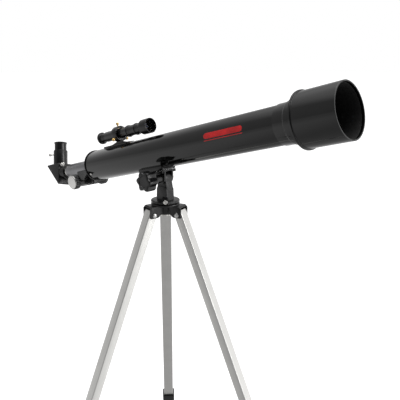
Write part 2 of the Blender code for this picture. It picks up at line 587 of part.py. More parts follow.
def focuser(frame):
    """Rear cap with the sleeve and pinion box, and what turns and slides in it."""
    rear = TUBE_REAR - CAP_LIP_LENGTH
    plug = TUBE_RADIUS - TUBE_WALL - GAP
    bore = DRAW_RADIUS + GAP
    sleeve = bore + CAP_SLEEVE_WALL
    housing = turned("focuser_housing", [
        (0, TUBE_REAR + CAP_PLUG_LENGTH), (plug, TUBE_REAR + CAP_PLUG_LENGTH),
        (plug, TUBE_REAR - GAP), (TUBE_RADIUS + CAP_LIP, TUBE_REAR - GAP), (TUBE_RADIUS + CAP_LIP, rear),
        (TUBE_RADIUS, rear - 0.0006), (sleeve + 0.0030, rear - 0.0016), (sleeve, rear - 0.0030),
        (sleeve, rear - CAP_SLEEVE_LENGTH), (0, rear - CAP_SLEEVE_LENGTH)], frame, "moulded_black")
    rack_low = -(DRAW_RADIUS + GAP + RACK_HEIGHT)
    axis = rack_low - GAP - PINION_RADIUS
    box_low = axis - PINION_RADIUS - PINION_BOX_WALL
    half = PINION_BOX_HALF
    box_rear = PINION_ALONG - PINION_ROOM - PINION_BOX_MARGIN
    body = box("pinion_box", (box_low, -half, box_rear), (PINION_BOX_TOP, half, rear + 0.0008), frame)
    bevel(body, 0.0016)
    join(housing, body)
    cut(housing, rod("draw_bore", bore, -0.30, -0.10, frame, steps=ROUND))
    slot = RACK_WIDTH / 2 + GAP
    rack_room = slot + 0.0008
    cut(housing, box("rack_slot", (rack_low - GAP, -slot, -0.30), (0.0, slot, -0.10), frame))
    spin = Matrix.Translation((axis, 0, PINION_ALONG)) @ Z_TO_Y
    cut(housing, rod("pinion_room", PINION_ROOM, -rack_room, rack_room, frame, turn=spin, steps=20))
    cut(housing, rod("pinion_bore", PINION_SHAFT + GAP, -0.05, 0.05, frame, turn=spin))
    cut(housing, box("cover_window", (box_low - CLEAR, -rack_room, PINION_ALONG - PINION_ROOM),
                     (axis, rack_room, PINION_ALONG + PINION_ROOM), frame))
    bevel(box("pinion_cover", (box_low - GAP - COVER_THICKNESS, -half + 0.001, box_rear + 0.001),
              (box_low - GAP, half - 0.001, rear - 0.001), frame, "moulded_black"), 0.0004)

    frame_slide = empty("focus_frame", frame)
    turned("draw_tube", [
        (DRAW_RADIUS, DRAW_REAR + DRAW_LENGTH), (DRAW_RADIUS, DRAW_REAR + 0.0004),
        (DRAW_RADIUS - 0.0004, DRAW_REAR), (DRAW_RADIUS - DRAW_WALL, DRAW_REAR),
        (DRAW_RADIUS - DRAW_WALL, DRAW_REAR + DRAW_LENGTH)], frame_slide, "draw_grey")
    pitch = RACK_LENGTH / RACK_TEETH
    start = DRAW_REAR + 0.0040
    base = rack_low
    outline = [(-DRAW_RADIUS - GAP, start + RACK_LENGTH), (-DRAW_RADIUS - GAP, start)]
    for i in range(RACK_TEETH):
        outline += [(base + TOOTH_DEPTH, start + i * pitch), (base, start + (i + 0.5) * pitch)]
    outline.append((base + TOOTH_DEPTH, start + RACK_LENGTH))
    plate("focus_rack", outline, -RACK_WIDTH / 2, RACK_WIDTH / 2, frame_slide, "nickel", turn=PLATE_IN_XZ)

    frame_spin = empty("pinion_frame", frame, turn=spin)
    gear = plate("focus_pinion", knurled(PINION_RADIUS, TOOTH_DEPTH, PINION_TEETH), -RACK_WIDTH / 2,
                 RACK_WIDTH / 2, frame_spin, "nickel")
    knob_in = FOCUS_KNOB_INNER
    knob_out = knob_in + FOCUS_KNOB_WIDTH
    reach = knob_out - 0.0030
    join(gear, rod("pinion_shaft", PINION_SHAFT, -reach, reach, frame_spin))
    for name, flip in (("near", 0), ("far", 180)):
        side = about_x(flip)
        knob = plate(f"focus_knob_{name}", knurled(FOCUS_KNOB_RADIUS, 0.0005, 20), knob_in, knob_out,
                     frame_spin, "moulded_black", turn=side)
        join(knob, turned(f"knob_neck_{name}", [
            (0, knob_in + 0.001), (KNOB_NECK_RADIUS, knob_in + 0.001),
            (KNOB_NECK_RADIUS, knob_in - KNOB_NECK_LENGTH), (0, knob_in - KNOB_NECK_LENGTH)],
                          frame_spin, steps=24, turn=side))
        cut(knob, rod(f"knob_bore_{name}", PINION_SHAFT + GAP, 0, reach + GAP, frame_spin, turn=side))
        cap = knob_out + GAP
        turned(f"focus_knob_cap_{name}", [
            (0, cap + FOCUS_CAP_THICKNESS), (FOCUS_KNOB_RADIUS - 0.0026, cap + FOCUS_CAP_THICKNESS),
            (FOCUS_KNOB_RADIUS - 0.0014, cap + FOCUS_CAP_THICKNESS - 0.0007),
            (FOCUS_KNOB_RADIUS - 0.0012, cap), (0, cap)], frame_spin, "nickel", 24, turn=side)
    return frame_slide


def diagonal(frame_slide):
    """Mirror diagonal that turns in the draw tube, and its eyepiece.  X is the eyepiece's axis."""
    frame = empty("diagonal_frame", frame_slide, place=(0, 0, DRAW_REAR - DIAGONAL_BEHIND),
                  turn=about_z(-DIAGONAL_ROLL))
    wide = DIAGONAL_HALF_WIDTH
    outline = [(DIAGONAL_TOP, DIAGONAL_FRONT), (DIAGONAL_TOP, -MIRROR_SETBACK - DIAGONAL_TOP),
               (-DIAGONAL_BOTTOM, DIAGONAL_BOTTOM - MIRROR_SETBACK), (-DIAGONAL_BOTTOM, DIAGONAL_FRONT)]
    body = plate("diagonal_body", outline, -wide, wide, frame, "moulded_black", turn=PLATE_IN_XZ)
    bevel(body, 0.0010)
    hole = EYEPIECE_RADIUS + GAP
    join(body, turned("eyepiece_holder", [
        (HOLDER_RADIUS - 0.0006, HOLDER_TOP), (HOLDER_RADIUS, HOLDER_TOP - 0.0006),
        (HOLDER_RADIUS, DIAGONAL_TOP - 0.004), (hole, DIAGONAL_TOP - 0.004), (hole, HOLDER_TOP)],
        frame, steps=24, turn=Z_TO_X))
    collar_end = DIAGONAL_BEHIND - NOSE_SHOWS
    join(body, rod("diagonal_collar", COLLAR_RADIUS, DIAGONAL_FRONT - 0.002, collar_end, frame, steps=24))
    cut(body, rod("light_path_up", hole, -0.0020, HOLDER_TOP + CLEAR, frame, steps=24, turn=Z_TO_X))
    cut(body, rod("light_path_in", NOSE_RADIUS + GAP, -0.0020, 0.10, frame, steps=24))

    slant = about_y(-135)                                # its Z points out of the mirror side
    face = MIRROR_SETBACK / math.sqrt(2)
    side = MIRROR_HALF + GAP
    mirror_low = face - MIRROR_THICKNESS
    cut(body, box("light_corner", (-0.0125, -0.0115, mirror_low - 0.0080), (0.0125, 0.0115, face), frame,
                  turn=slant))
    cut(body, box("mirror_room", (-side - 0.003, -side, mirror_low - GAP), (side - 0.003, side, face + CLEAR),
                  frame, turn=slant))
    box("diagonal_mirror", (-MIRROR_HALF - 0.003, -MIRROR_HALF, mirror_low),
        (MIRROR_HALF - 0.003, MIRROR_HALF, face - GAP), frame, "mirror_glass", turn=slant)
    high = (2 * DIAGONAL_TOP + MIRROR_SETBACK) / math.sqrt(2)
    low = (2 * DIAGONAL_BOTTOM - MIRROR_SETBACK) / math.sqrt(2)
    bevel(box("mirror_cover", (-high, -wide, face + GAP), (low, wide, face + GAP + COVER_THICKNESS), frame,
              "moulded_black", turn=slant), 0.0005)

    turned("diagonal_nose", ring_outline(NOSE_RADIUS, NOSE_RADIUS - NOSE_WALL, NOSE_SEAT,
                                         NOSE_SEAT + NOSE_LENGTH), frame, "nickel", 24)
    holder_screw = Matrix.Translation((HOLDER_TOP - 0.0085, 0, 0)) @ about_x(-135)
    cut(body, rod("holder_screw_hole", SCREW_RADIUS + GAP, 0.008, 0.03, frame, turn=holder_screw))
    thumbscrew("eyepiece_screw", frame, holder_screw, 0.0030, HOLDER_RADIUS + 0.0052, HOLDER_RADIUS + 0.0098,
               SCREW_RADIUS, hole)
    nose_screw = Matrix.Translation((0, 0, (DIAGONAL_FRONT + collar_end) / 2)) @ about_z(35) @ Z_TO_X
    cut(body, rod("nose_screw_hole", SCREW_RADIUS + GAP, 0.008, 0.03, frame, turn=nose_screw))
    thumbscrew("nose_screw", frame, nose_screw, 0.0042, COLLAR_RADIUS + 0.0022, COLLAR_RADIUS + 0.0070,
               SCREW_RADIUS, NOSE_RADIUS + GAP)
    eyepiece(frame)
    return frame


def eyepiece(frame):
    """Push-in eyepiece: its barrel and two lenses, drawn along the holder's axis."""
    moving = empty("eyepiece_frame", frame)
    inner = EYEPIECE_RADIUS - 0.0012
    top = EYEPIECE_TOP
    base = top - EYEPIECE_LENGTH
    rim = EYEPIECE_RADIUS + EYEPIECE_RIM
    eye = 0.0078
    turned("eyepiece_barrel", [
        (eye + 0.0022, top), (rim - 0.0005, top - 0.0004), (rim, top - 0.0012),
        (EYEPIECE_RADIUS, top - 0.0038),
        (EYEPIECE_RADIUS, base), (inner, base), (inner, top - 0.0070), (eye - 0.0012, top - 0.0070),
        (eye - 0.0012, top - 0.0055), (eye + GAP, top - 0.0055), (eye + GAP, top - 0.0016)],
        moving, "eyepiece_black", 24, turn=Z_TO_X)
    turned("eye_lens", [(0, top - 0.0028), (eye * 0.6, top - 0.0031), (eye, top - 0.0040),
                        (eye, top - 0.0055 + GAP), (0, top - 0.0055 + GAP)], moving, "optical_glass", 18,
           turn=Z_TO_X)
    field = inner - GAP
    turned("field_lens", [(0, base + 0.0120), (field, base + 0.0120), (field, base + 0.0104),
                          (field * 0.6, base + 0.0088), (0, base + 0.0084)], moving, "optical_glass", 18,
           turn=Z_TO_X)
    return moving


# ---------------------------------------------------------------- finder
def finder(tube):
    """Small sighting telescope on its bracket, held in the collar by three screws."""
    bracket = box("finder_bracket", (0.0262, -BRACKET_HALF_WIDTH, BRACKET_REAR),
                  (TUBE_RADIUS + BRACKET_PLATE, BRACKET_HALF_WIDTH, BRACKET_FRONT), tube, "moulded_black")
    bevel(bracket, 0.0010)
    cut(bracket, rod("tube_seat", TUBE_RADIUS + GAP, BRACKET_REAR - CLEAR, BRACKET_FRONT + CLEAR, tube,
                     steps=48))
    base = TUBE_RADIUS + BRACKET_PLATE - 0.0006
    rear = COLLAR_ALONG - COLLAR_LENGTH / 2
    front = COLLAR_ALONG + COLLAR_LENGTH / 2
    inset = 0.0008
    inner = FINDER_RADIUS + COLLAR_ROOM
    outer = inner + COLLAR_WALL
    under = FINDER_OVER_TUBE - inner - COLLAR_WALL * 0.4
    outline = [(base, BRACKET_REAR + 0.0110), (base, BRACKET_FRONT - 0.0060), (base + 0.0035, front - inset),
               (under, front - inset), (under, rear + inset)]
    join(bracket, plate("finder_fin", outline, -FIN_THICKNESS / 2, FIN_THICKNESS / 2, tube, turn=PLATE_IN_XZ))
    centre = (FINDER_OVER_TUBE, 0, 0)
    join(bracket, turned("finder_collar", ring_outline(outer, inner, rear, front), tube, steps=24,
                         place=centre))
    for name, angle in (("top", 0), ("near", 122), ("far", -122)):
        turn = Matrix.Translation((FINDER_OVER_TUBE, 0, COLLAR_ALONG)) @ about_z(angle) @ Z_TO_X
        cut(bracket, rod(f"finder_screw_hole_{name}", SCREW_RADIUS + GAP, inner - 0.003, outer + CLEAR, tube,
                         turn=turn))
        thumbscrew(f"finder_screw_{name}", tube, turn, 0.0026, outer + 0.0026, outer + 0.0066, SCREW_RADIUS,
                   FINDER_RADIUS + GAP, "brass")

    skin = FINDER_RADIUS - FINDER_WALL
    mouth = FINDER_MOUTH
    flare = FINDER_FRONT - FINDER_MOUTH_LENGTH
    tail = FINDER_REAR + FINDER_EYE_LENGTH
    outline = [(mouth - 0.0004, FINDER_FRONT), (mouth, FINDER_FRONT - 0.0004), (mouth, flare + 0.0050),
               (FINDER_RADIUS, flare)]
    for ring in FINDER_RINGS:
        outline += [(FINDER_RADIUS, ring + 0.0018), (FINDER_RADIUS + 0.0012, ring + 0.0012),
                    (FINDER_RADIUS + 0.0012, ring - 0.0012), (FINDER_RADIUS, ring - 0.0018)]
    outline += [(FINDER_RADIUS, tail), (skin, tail), (skin, flare + 0.0050),
                (mouth - FINDER_WALL, flare + 0.0100), (mouth - FINDER_WALL, FINDER_FRONT)]
    turned("finder_tube", outline, tube, "moulded_black", 24, place=centre)
    glass = mouth - FINDER_WALL - GAP
    lens_low = flare + 0.0100 + GAP
    turned("finder_lens", [(0, lens_low + 0.0040), (glass * 0.6, lens_low + 0.0036),
                           (glass, lens_low + 0.0024),
                           (glass, lens_low), (0, lens_low)], tube, "optical_glass", 20, place=centre)
    moving = empty("finder_eye_frame", tube, place=centre)
    slip = skin - GAP
    rim = FINDER_EYE_RADIUS
    turned("finder_eyepiece", [
        (slip, tail + 0.0140), (slip, FINDER_REAR + 0.0048), (rim, FINDER_REAR + 0.0040),
        (rim, FINDER_REAR + 0.0006), (rim - 0.0006, FINDER_REAR), (0.0050, FINDER_REAR),
        (0.0038, FINDER_REAR + 0.0020), (0.0038, FINDER_REAR + 0.0050), (slip - 0.0012, FINDER_REAR + 0.0060),
        (slip - 0.0012, tail + 0.0140)], moving, "moulded_black", 20)


# ---------------------------------------------------------------- tube's seat on the mount
def seat(tube):
    """Shoe under the tube and the saddle that hinges on the yoke."""
    shoe_low = -TUBE_RADIUS - SHOE_THICKNESS
    shoe = box("tube_shoe", (shoe_low, -SHOE_HALF_WIDTH, SHOE_REAR), (-0.0200, SHOE_HALF_WIDTH, SHOE_FRONT),
               tube, "moulded_black")
    bevel(shoe, 0.0012)
    cut(shoe, rod("shoe_seat", TUBE_RADIUS + GAP, SHOE_REAR - CLEAR, SHOE_FRONT + CLEAR, tube, steps=48))

    plate_high = shoe_low - GAP
    plate_low = plate_high - SADDLE_PLATE
    wide = SHOE_HALF_WIDTH + 0.0006
    saddle = box("saddle", (plate_low - SADDLE_FLANGE, -wide, SADDLE_REAR), (plate_high, wide, SADDLE_FRONT),
                 tube, "cast_black")
    bevel(saddle, 0.0008)
    cut(saddle, box("saddle_channel", (plate_low - CLEAR, -wide + SADDLE_PLATE, SADDLE_REAR - CLEAR),
                    (plate_low, wide - SADDLE_PLATE, SADDLE_FRONT + CLEAR), tube))
    cheek_in = TONGUE_THICKNESS / 2 + GAP
    for name, low in (("near", cheek_in), ("far", -cheek_in - CHEEK_THICKNESS)):
        axis = (-PIVOT_BELOW, -PIVOT_BEHIND)
        outline = arc(axis, CHEEK_RADIUS, 115, 245, 11)
        outline += [(plate_low + 0.0008, -PIVOT_BEHIND - CHEEK_RADIUS - 0.0035),
                    (plate_low + 0.0008, -PIVOT_BEHIND + CHEEK_RADIUS + 0.0035)]
        join(saddle, plate(f"cheek_{name}", outline, -low - CHEEK_THICKNESS, -low, tube, turn=PLATE_IN_XZ))
    cut(saddle, rod("saddle_bolt_hole", ALTITUDE_BOLT + GAP, -0.02, 0.02, tube,
                    place=(-PIVOT_BELOW, 0, -PIVOT_BEHIND), turn=Z_TO_Y))


def build():
    root = empty("telescope")
    pivot_height = LEG_LENGTH * math.cos(math.radians(LEG_SPLAY))
    crown_frame = empty("crown_frame", root, place=(0, 0, pivot_height + LEG_PIVOT_DROP))
    crown(crown_frame)
    for index, letter in enumerate("abc"):
        leg(letter, crown_frame, index)
    azimuth = head(crown_frame)
    altitude_clamp(azimuth)
    lift = math.radians(ALTITUDE)
    forward = Vector((math.cos(lift), 0, math.sin(lift)))
    above = Vector((-math.sin(lift), 0, math.cos(lift)))
    near = forward.cross(above)
    turn = Matrix((above, near, forward)).transposed()
    altitude = empty("altitude_frame", azimuth)
    tube = empty("tube_frame", altitude, turn=turn.to_4x4() @ Matrix.Translation(
        (PIVOT_BELOW, 0, PIVOT_BEHIND)))
    tube_assembly(tube)
    finder(tube)
    seat(tube)
    slide = focuser(tube)
    diagonal(slide)
    centre_on_floor(root)


def centre_on_floor(root):
    """Move the whole object so that the origin is under the middle of its outline."""
    bpy.context.view_layer.update()
    graph = bpy.context.evaluated_depsgraph_get()
    corners = []
    for thing in PARTS.objects:
        if thing.type == "MESH":
            solid = thing.evaluated_get(graph)
            corners += [solid.matrix_world @ Vector(corner) for corner in solid.bound_box]
    for axis in (0, 1):
        values = [corner[axis] for corner in corners]
        root.location[axis] -= (min(values) + max(values)) / 2
    bpy.context.view_layer.update()


clear_scene()
PARTS = collection("telescope_on_tripod")
TOOLS = collection("cutters")
FINISHES = {
    "tube_gloss": material("tube_gloss", (0.012, 0.012, 0.013), 0.12),
    "moulded_black": material("moulded_black", (0.016, 0.016, 0.017), 0.35),
    "cast_black": material("cast_black", (0.018, 0.018, 0.020), 0.42),
    "draw_grey": material("draw_grey", (0.10, 0.10, 0.105), 0.40, 0.4),
    "nickel": material("nickel", (0.62, 0.61, 0.58), 0.25, 1.0),
    "zinc": material("zinc", (0.72, 0.72, 0.71), 0.30, 1.0),
    "leg_aluminium": material("leg_aluminium", (0.58, 0.58, 0.55), 0.38, 1.0),
    "rubber": material("rubber", (0.014, 0.014, 0.014), 0.85),
    "brass": material("brass", (0.56, 0.40, 0.16), 0.30, 1.0),
    "eyepiece_black": material("eyepiece_black", (0.014, 0.014, 0.016), 0.22),
    "mirror_glass": material("mirror_glass", (0.85, 0.86, 0.88), 0.03, 1.0),
    "optical_glass": material("optical_glass", (0.55, 0.60, 0.75), 0.04),
}
build()
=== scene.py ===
"""Looks for a small refracting telescope on its alt-azimuth head and aluminium tripod.

Metres, +Z up.  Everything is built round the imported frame: pieces of the optical tube are drawn in
the tube's own frame, where X is up and away from its axis, Y is the side of the clamp knob and Z runs
forward, and each leg's pieces in a frame on its pivot, where -Z runs down the leg.
"""

import math
from collections import namedtuple

import bmesh
import bpy
from mathutils import Matrix, Vector
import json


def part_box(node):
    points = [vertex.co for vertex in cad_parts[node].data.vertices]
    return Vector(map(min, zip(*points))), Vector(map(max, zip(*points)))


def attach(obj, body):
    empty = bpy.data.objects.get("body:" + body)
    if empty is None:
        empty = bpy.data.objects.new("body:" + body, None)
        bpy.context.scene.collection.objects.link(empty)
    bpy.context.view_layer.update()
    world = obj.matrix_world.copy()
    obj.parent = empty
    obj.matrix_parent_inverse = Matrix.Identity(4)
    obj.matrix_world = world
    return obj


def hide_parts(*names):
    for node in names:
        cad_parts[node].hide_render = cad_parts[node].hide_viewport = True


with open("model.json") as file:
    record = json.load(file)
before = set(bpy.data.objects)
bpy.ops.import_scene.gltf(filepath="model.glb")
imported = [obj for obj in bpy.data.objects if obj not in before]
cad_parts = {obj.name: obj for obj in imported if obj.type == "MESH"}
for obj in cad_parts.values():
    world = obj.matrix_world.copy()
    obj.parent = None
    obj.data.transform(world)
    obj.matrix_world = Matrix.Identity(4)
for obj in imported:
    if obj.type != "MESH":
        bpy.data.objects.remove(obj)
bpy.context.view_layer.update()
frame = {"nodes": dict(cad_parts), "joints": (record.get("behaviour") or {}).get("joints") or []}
JOINTS = {joint["name"]: joint for joint in frame["joints"]}

# ---------------------------------------------------------------- driving dimensions (metres)
GAP = 0.0003                      # clearance between pieces that touch

TUBE_RADIUS = 0.0285
TUBE_WALL = 0.0012
TUBE_REAR = -0.190
TUBE_FRONT = 0.250

CAP_LIP = 0.0012                  # rear cap's lip beyond the tube
CAP_LIP_LENGTH = 0.0025
CAP_PLUG_LENGTH = 0.012
CAP_SCREWS = 3
CAP_SCREW_RADIUS = 0.0021
CAP_SCREW_HEIGHT = 0.0012
CAP_SCREW_FORWARD = 0.0065        # in front of the tube's rear end
SLEEVE_RADIUS = 0.0173
SLEEVE_LENGTH = 0.0090

DRAW_RADIUS = 0.0140
DRAW_REAR = -0.281
DRAW_LENGTH = 0.136
DRAW_WALL = 0.0012
PINION_ALONG = -0.228
PINION_BELOW = 0.0226
KNOB_RADIUS = 0.0142
KNOB_IN = 0.0275
KNOB_OUT = 0.0385
KNOB_CAP = 0.0016
KNOB_BORE = 0.0022
KNOB_NECK_RADIUS = 0.0062
KNOB_NECK_LENGTH = 0.0060
KNOB_RIDGES = 28
KNOB_RIDGE_DEPTH = 0.0007

CELL_RADIUS = 0.0297
CELL_LENGTH = 0.0125
CELL_OVERLAP = 0.0055             # how far the front cell goes over the tube
NOSE_RADIUS = 0.0312
NOSE_LENGTH = 0.0200
LENS_SEAT = 0.0100                # in front of the tube
LENS_SHOULDER = 0.0016
LENS_RADIUS = 0.0255
LENS_EDGE = 0.0026
LENS_BULGE = 0.0012
LENS_RING_WALL = 0.0022
LENS_RING_LENGTH = 0.0030

SHIELD_RADIUS = 0.0392
SHIELD_LIP = 0.0020
SHIELD_LIP_LENGTH = 0.0030
SHIELD_WALL = 0.0020
SHIELD_REAR = 0.2780
SHIELD_LENGTH = 0.0670
SHIELD_GROOVES = 22
SHIELD_GROOVE_DEPTH = 0.0005

RED_BARS = (("wide", 66, 84), ("thin", 88, 90.5))     # edges in degrees round from the tube's top
RED_REAR = 0.117
RED_FRONT = 0.192
RED_STEPS = 12
RED_LIFT = 0.00004                # film over the enamel, and its thickness
RED_THICKNESS = 0.00003

DIAGONAL_AXIS = -0.321            # eyepiece's axis, along the tube
BARREL_WALL = 0.0012
BARREL_SEAT = 0.0100
BARREL_LENGTH = 0.042
HOLDER_RADIUS = 0.0142
HOLDER_BASE = 0.0190
HOLDER_TOP = 0.0484
SKIN = 0.00005                    # a sleeve's stand over the casting that it covers
EYEPIECE_RADIUS = 0.0121
EYEPIECE_TOP = 0.0660
EYEPIECE_LENGTH = 0.0400
EYEPIECE_RIM = 0.0013
EYE_LENS_RADIUS = 0.0078

FINDER_OVER_TUBE = 0.0477
FINDER_RADIUS = 0.0094
FINDER_WALL = 0.0011
FINDER_REAR = -0.1610
FINDER_FRONT = -0.0213
FINDER_MOUTH = 0.0131
FINDER_MOUTH_LENGTH = 0.0240
FINDER_EYE_RADIUS = 0.0110
FINDER_EYE_HOLE = 0.0038
FINDER_EYE_LENGTH = 0.0180
FINDER_RINGS = (-0.0570, -0.0790)
COLLAR_OUTER = 0.0138

TONGUE_THICKNESS = 0.0144
CHEEK_THICKNESS = 0.0030
ALTITUDE_BOLT = 0.0030
CLAMP_WASHER_RADIUS = 0.0062
CLAMP_WASHER_BORE = 0.0033
CLAMP_WASHER_THICKNESS = 0.0020
ALTITUDE_KNOB_FACE = 0.0515
ALTITUDE_KNOB_THICKNESS = 0.0210
ALTITUDE_KNOB_RADIUS = 0.0158
ALTITUDE_KNOB_LOBE = 0.0018
ALTITUDE_KNOB_LOBES = 6
ALTITUDE_KNOB_SHANK = 0.0072
ALTITUDE_BOLT_END = -0.0160
TURNTABLE_WASHER_RADIUS = 0.0100
TURNTABLE_WASHER_BORE = 0.0063

LEG_WIDTH = 0.0204
LEG_DEPTH = 0.0148
LEG_OFFSET = 0.0012               # leg's middle outside its pivot
LEG_WALL = 0.0014
LEG_UPPER_LENGTH = 0.5600
LEG_TOP = 0.0060
LEG_LENGTH = 0.830                # pivot to floor
LEG_INSERT = 0.240                # lower leg left inside the upper one
LEG_CORNER = 0.0014
LOWER_CORNER = 0.0010
FOOT_WALL = 0.0035
FOOT_SOLE = 0.004
LEG_BOLT = 0.0025
LEG_BOLT_HALF = 0.0128            # from the leg's middle to the bolt head's seat
LEG_BOLT_HEAD = 0.0041
LEG_BOLT_DOME = 0.0022

SLANTED = Vector((0.1, 0.2, 1))   # a way up that no screw points
# Knurled screws.  Distances run outwards along a screw's axis, from its joint's place.
Screw = namedtuple("Screw", "head_low head_high head_radius stud_radius stud_low ridges depth")
HOLDER_SCREW = Screw(HOLDER_RADIUS + 0.0052, HOLDER_RADIUS + 0.0098, 0.0030, 0.0013, 0.0124, 22, 0.00035)
COLLAR_SCREW = Screw(0.0172, 0.0220, 0.0042, 0.0013, 0.0124, 22, 0.00035)
TURNTABLE_SCREW = Screw(0.0268, 0.0312, 0.0039, 0.0018, 0.0124, 22, 0.00035)
FINDER_SCREW = Screw(COLLAR_OUTER + 0.0026, COLLAR_OUTER + 0.0066, 0.0026, 0.0013, FINDER_RADIUS + GAP,
                     18, 0.0003)
LEG_CLAMP_SCREW = Screw(0.0058, 0.0158, 0.0085, 0.0020, -0.0013, 16, 0.0008)

SMOOTH_ANGLE = math.radians(32)
BEVEL_ANGLE = math.radians(30)
FLAT_ANGLE = math.radians(1)      # neighbouring faces closer than this are one flat
STRAIGHT_ANGLE = math.radians(168)
CORNER_SHARE = 0.42               # the most of a line that a softened corner takes
SMALLEST_CORNER = 2e-5
TUBE_STEPS = 192                  # steps round a turned piece, by its size
CAP_STEPS = 160
FINE = 128
MEDIUM = 96
COARSE = 64
SMALL = 48

# What the object reflects: (height, brightness) from the floor up, and for each wall the way to it and
# its brightness by (how nearly one faces it, brightness).
WALLS = (
    ((0.74, 0.67, 0.05), ((0.30, 0.0), (0.80, 0.75))),      # right
    ((-0.90, -0.45, 0.0), ((0.30, 0.0), (0.85, 0.32))),     # left
    ((-0.67, 0.74, 0.10), ((0.40, 0.0), (0.95, 0.45))),     # behind the object
)
FLOOR_TO_CEILING = ((-0.30, 0.42), (-0.05, 0.24), (0.06, 0.09), (0.55, 0.11), (0.85, 0.85))
FLOOR_RADIUS = 60.0
FLOOR_GLOW = 0.62

# The camera, from the altitude axis.
CAMERA_PLACE = (0.659, -0.645, 0.190)
CAMERA_TILT = 76
CAMERA_HEADING = 41.9
CAMERA_LENS = 49.5                # millimetres
CAMERA_SENSOR = 36.0


# ---------------------------------------------------------------- frames
def place_of(joint):
    return Vector(JOINTS[joint]["pos_m"])


def axis_of(joint):
    return Vector(JOINTS[joint]["axis"]).normalized()


def axes_frame(x_axis, y_axis, z_axis, origin):
    turn = Matrix((x_axis, y_axis, z_axis)).transposed().to_4x4()
    return Matrix.Translation(origin) @ turn


def along(axis, origin, up=Vector((0, 0, 1))):
    """A frame whose Z is an axis and whose Y leans towards up."""
    z_axis = axis.normalized()
    x_axis = up.cross(z_axis).normalized()
    return axes_frame(x_axis, z_axis.cross(x_axis), z_axis, origin)


FORWARD = axis_of("focus_travel")
if FORWARD.x < 0:
    FORWARD = -FORWARD
ABOVE = Vector((-FORWARD.z, 0, FORWARD.x))
NEAR = FORWARD.cross(ABOVE)
TUBE = axes_frame(ABOVE, NEAR, FORWARD, place_of("diagonal_turn") - FORWARD * DIAGONAL_AXIS)
UP_EYEPIECE = axis_of("eyepiece_slide")
DIAGONAL = axes_frame(UP_EYEPIECE, FORWARD.cross(UP_EYEPIECE), FORWARD, place_of("diagonal_turn"))
FINDER = TUBE @ Matrix.Translation((FINDER_OVER_TUBE, 0, 0))
Z_TO_X = Matrix.Rotation(math.radians(90), 4, "Y")
Z_TO_Y = Matrix.Rotation(math.radians(-90), 4, "X")


# ---------------------------------------------------------------- materials
class Nodes:
    """A material's nodes, added one after another."""

    def __init__(self, name):
        self.material = bpy.data.materials.new(name)
        self.material.use_nodes = True
        self.tree = self.material.node_tree
        self.shader = self.tree.nodes["Principled BSDF"]
        self.place = self.add("ShaderNodeTexCoord").outputs["Object"]

    def add(self, kind, **settings):
        node = self.tree.nodes.new(kind)
        for key, value in settings.items():
            setattr(node, key, value)
        return node

    def link(self, source, target):
        self.tree.links.new(source, target)

    def set(self, **values):
        for key, value in values.items():
            title = key.replace("_", " ").title().replace("Ior", "IOR")
            self.shader.inputs[title].default_value = value

    def stretched(self, scale):
        node = self.add("ShaderNodeMapping")
        node.inputs["Scale"].default_value = scale
        self.link(self.place, node.inputs["Vector"])
        return node.outputs["Vector"]

    def noise(self, scale, detail=4.0, rough=0.55, stretch=None):
        node = self.add("ShaderNodeTexNoise")
        node.inputs["Scale"].default_value = scale
        node.inputs["Detail"].default_value = detail
        node.inputs["Roughness"].default_value = rough
        self.link(self.stretched(stretch) if stretch else self.place, node.inputs["Vector"])
        return node.outputs["Fac"]

    def ramp(self, source, stops):
        """Stops are (position, colour); a number stands for a grey."""
        node = self.add("ShaderNodeValToRGB")
        points = node.color_ramp.elements
        while len(points) < len(stops):
            points.new(0.5)
        for point, (position, colour) in zip(points, stops):
            point.position = position
            point.color = (*colour, 1) if isinstance(colour, tuple) else (colour, colour, colour, 1)
        self.link(source, node.inputs["Fac"])
        return node.outputs["Color"]

    def bump(self, height, strength, distance):
        node = self.add("ShaderNodeBump")
        node.inputs["Strength"].default_value = strength
        node.inputs["Distance"].default_value = distance
        self.link(height, node.inputs["Height"])
        below = self.shader.inputs["Normal"]
        if below.is_linked:
            self.link(below.links[0].from_socket, node.inputs["Normal"])
        self.link(node.outputs["Normal"], below)


def shade(colour, factor):
    return tuple(channel * factor for channel in colour)


def enamel(name, colour, roughness):
    """Sprayed gloss paint: a faint orange peel, and dust and hairline rubs in the gloss."""
    made = Nodes(name)
    made.set(specular_ior_level=0.5, coat_weight=0.15, coat_roughness=0.03)
    made.link(made.ramp(made.noise(35), [(0.3, shade(colour, 0.8)), (0.7, shade(colour, 1.25))]),
              made.shader.inputs["Base Color"])
    rubs = made.noise(90, 6, 0.7, (1, 1, 0.12))
    made.link(made.ramp(rubs, [(0.35, roughness * 0.8), (0.62, roughness * 1.2), (0.8, roughness * 2.2)]),
              made.shader.inputs["Roughness"])
    made.bump(made.noise(420, 2), 0.05, 0.0002)
    made.bump(made.noise(28, 1), 0.03, 0.001)
    return made.material


def plastic(name, colour, roughness, grain=1800, depth=0.12):
    """Moulded plastic: a fine grain, a slow change of gloss, and lighter dusty patches."""
    made = Nodes(name)
    made.set(specular_ior_level=0.5)
    tone = made.noise(60, 5, 0.6)
    made.link(made.ramp(tone, [(0.3, shade(colour, 0.75)), (0.55, colour), (0.8, shade(colour, 1.7))]),
              made.shader.inputs["Base Color"])
    made.link(made.ramp(made.noise(140, 4), [(0.3, roughness * 0.8), (0.75, roughness * 1.35)]),
              made.shader.inputs["Roughness"])
    made.bump(made.noise(grain, 3, 0.6), depth, 0.0002)
    return made.material


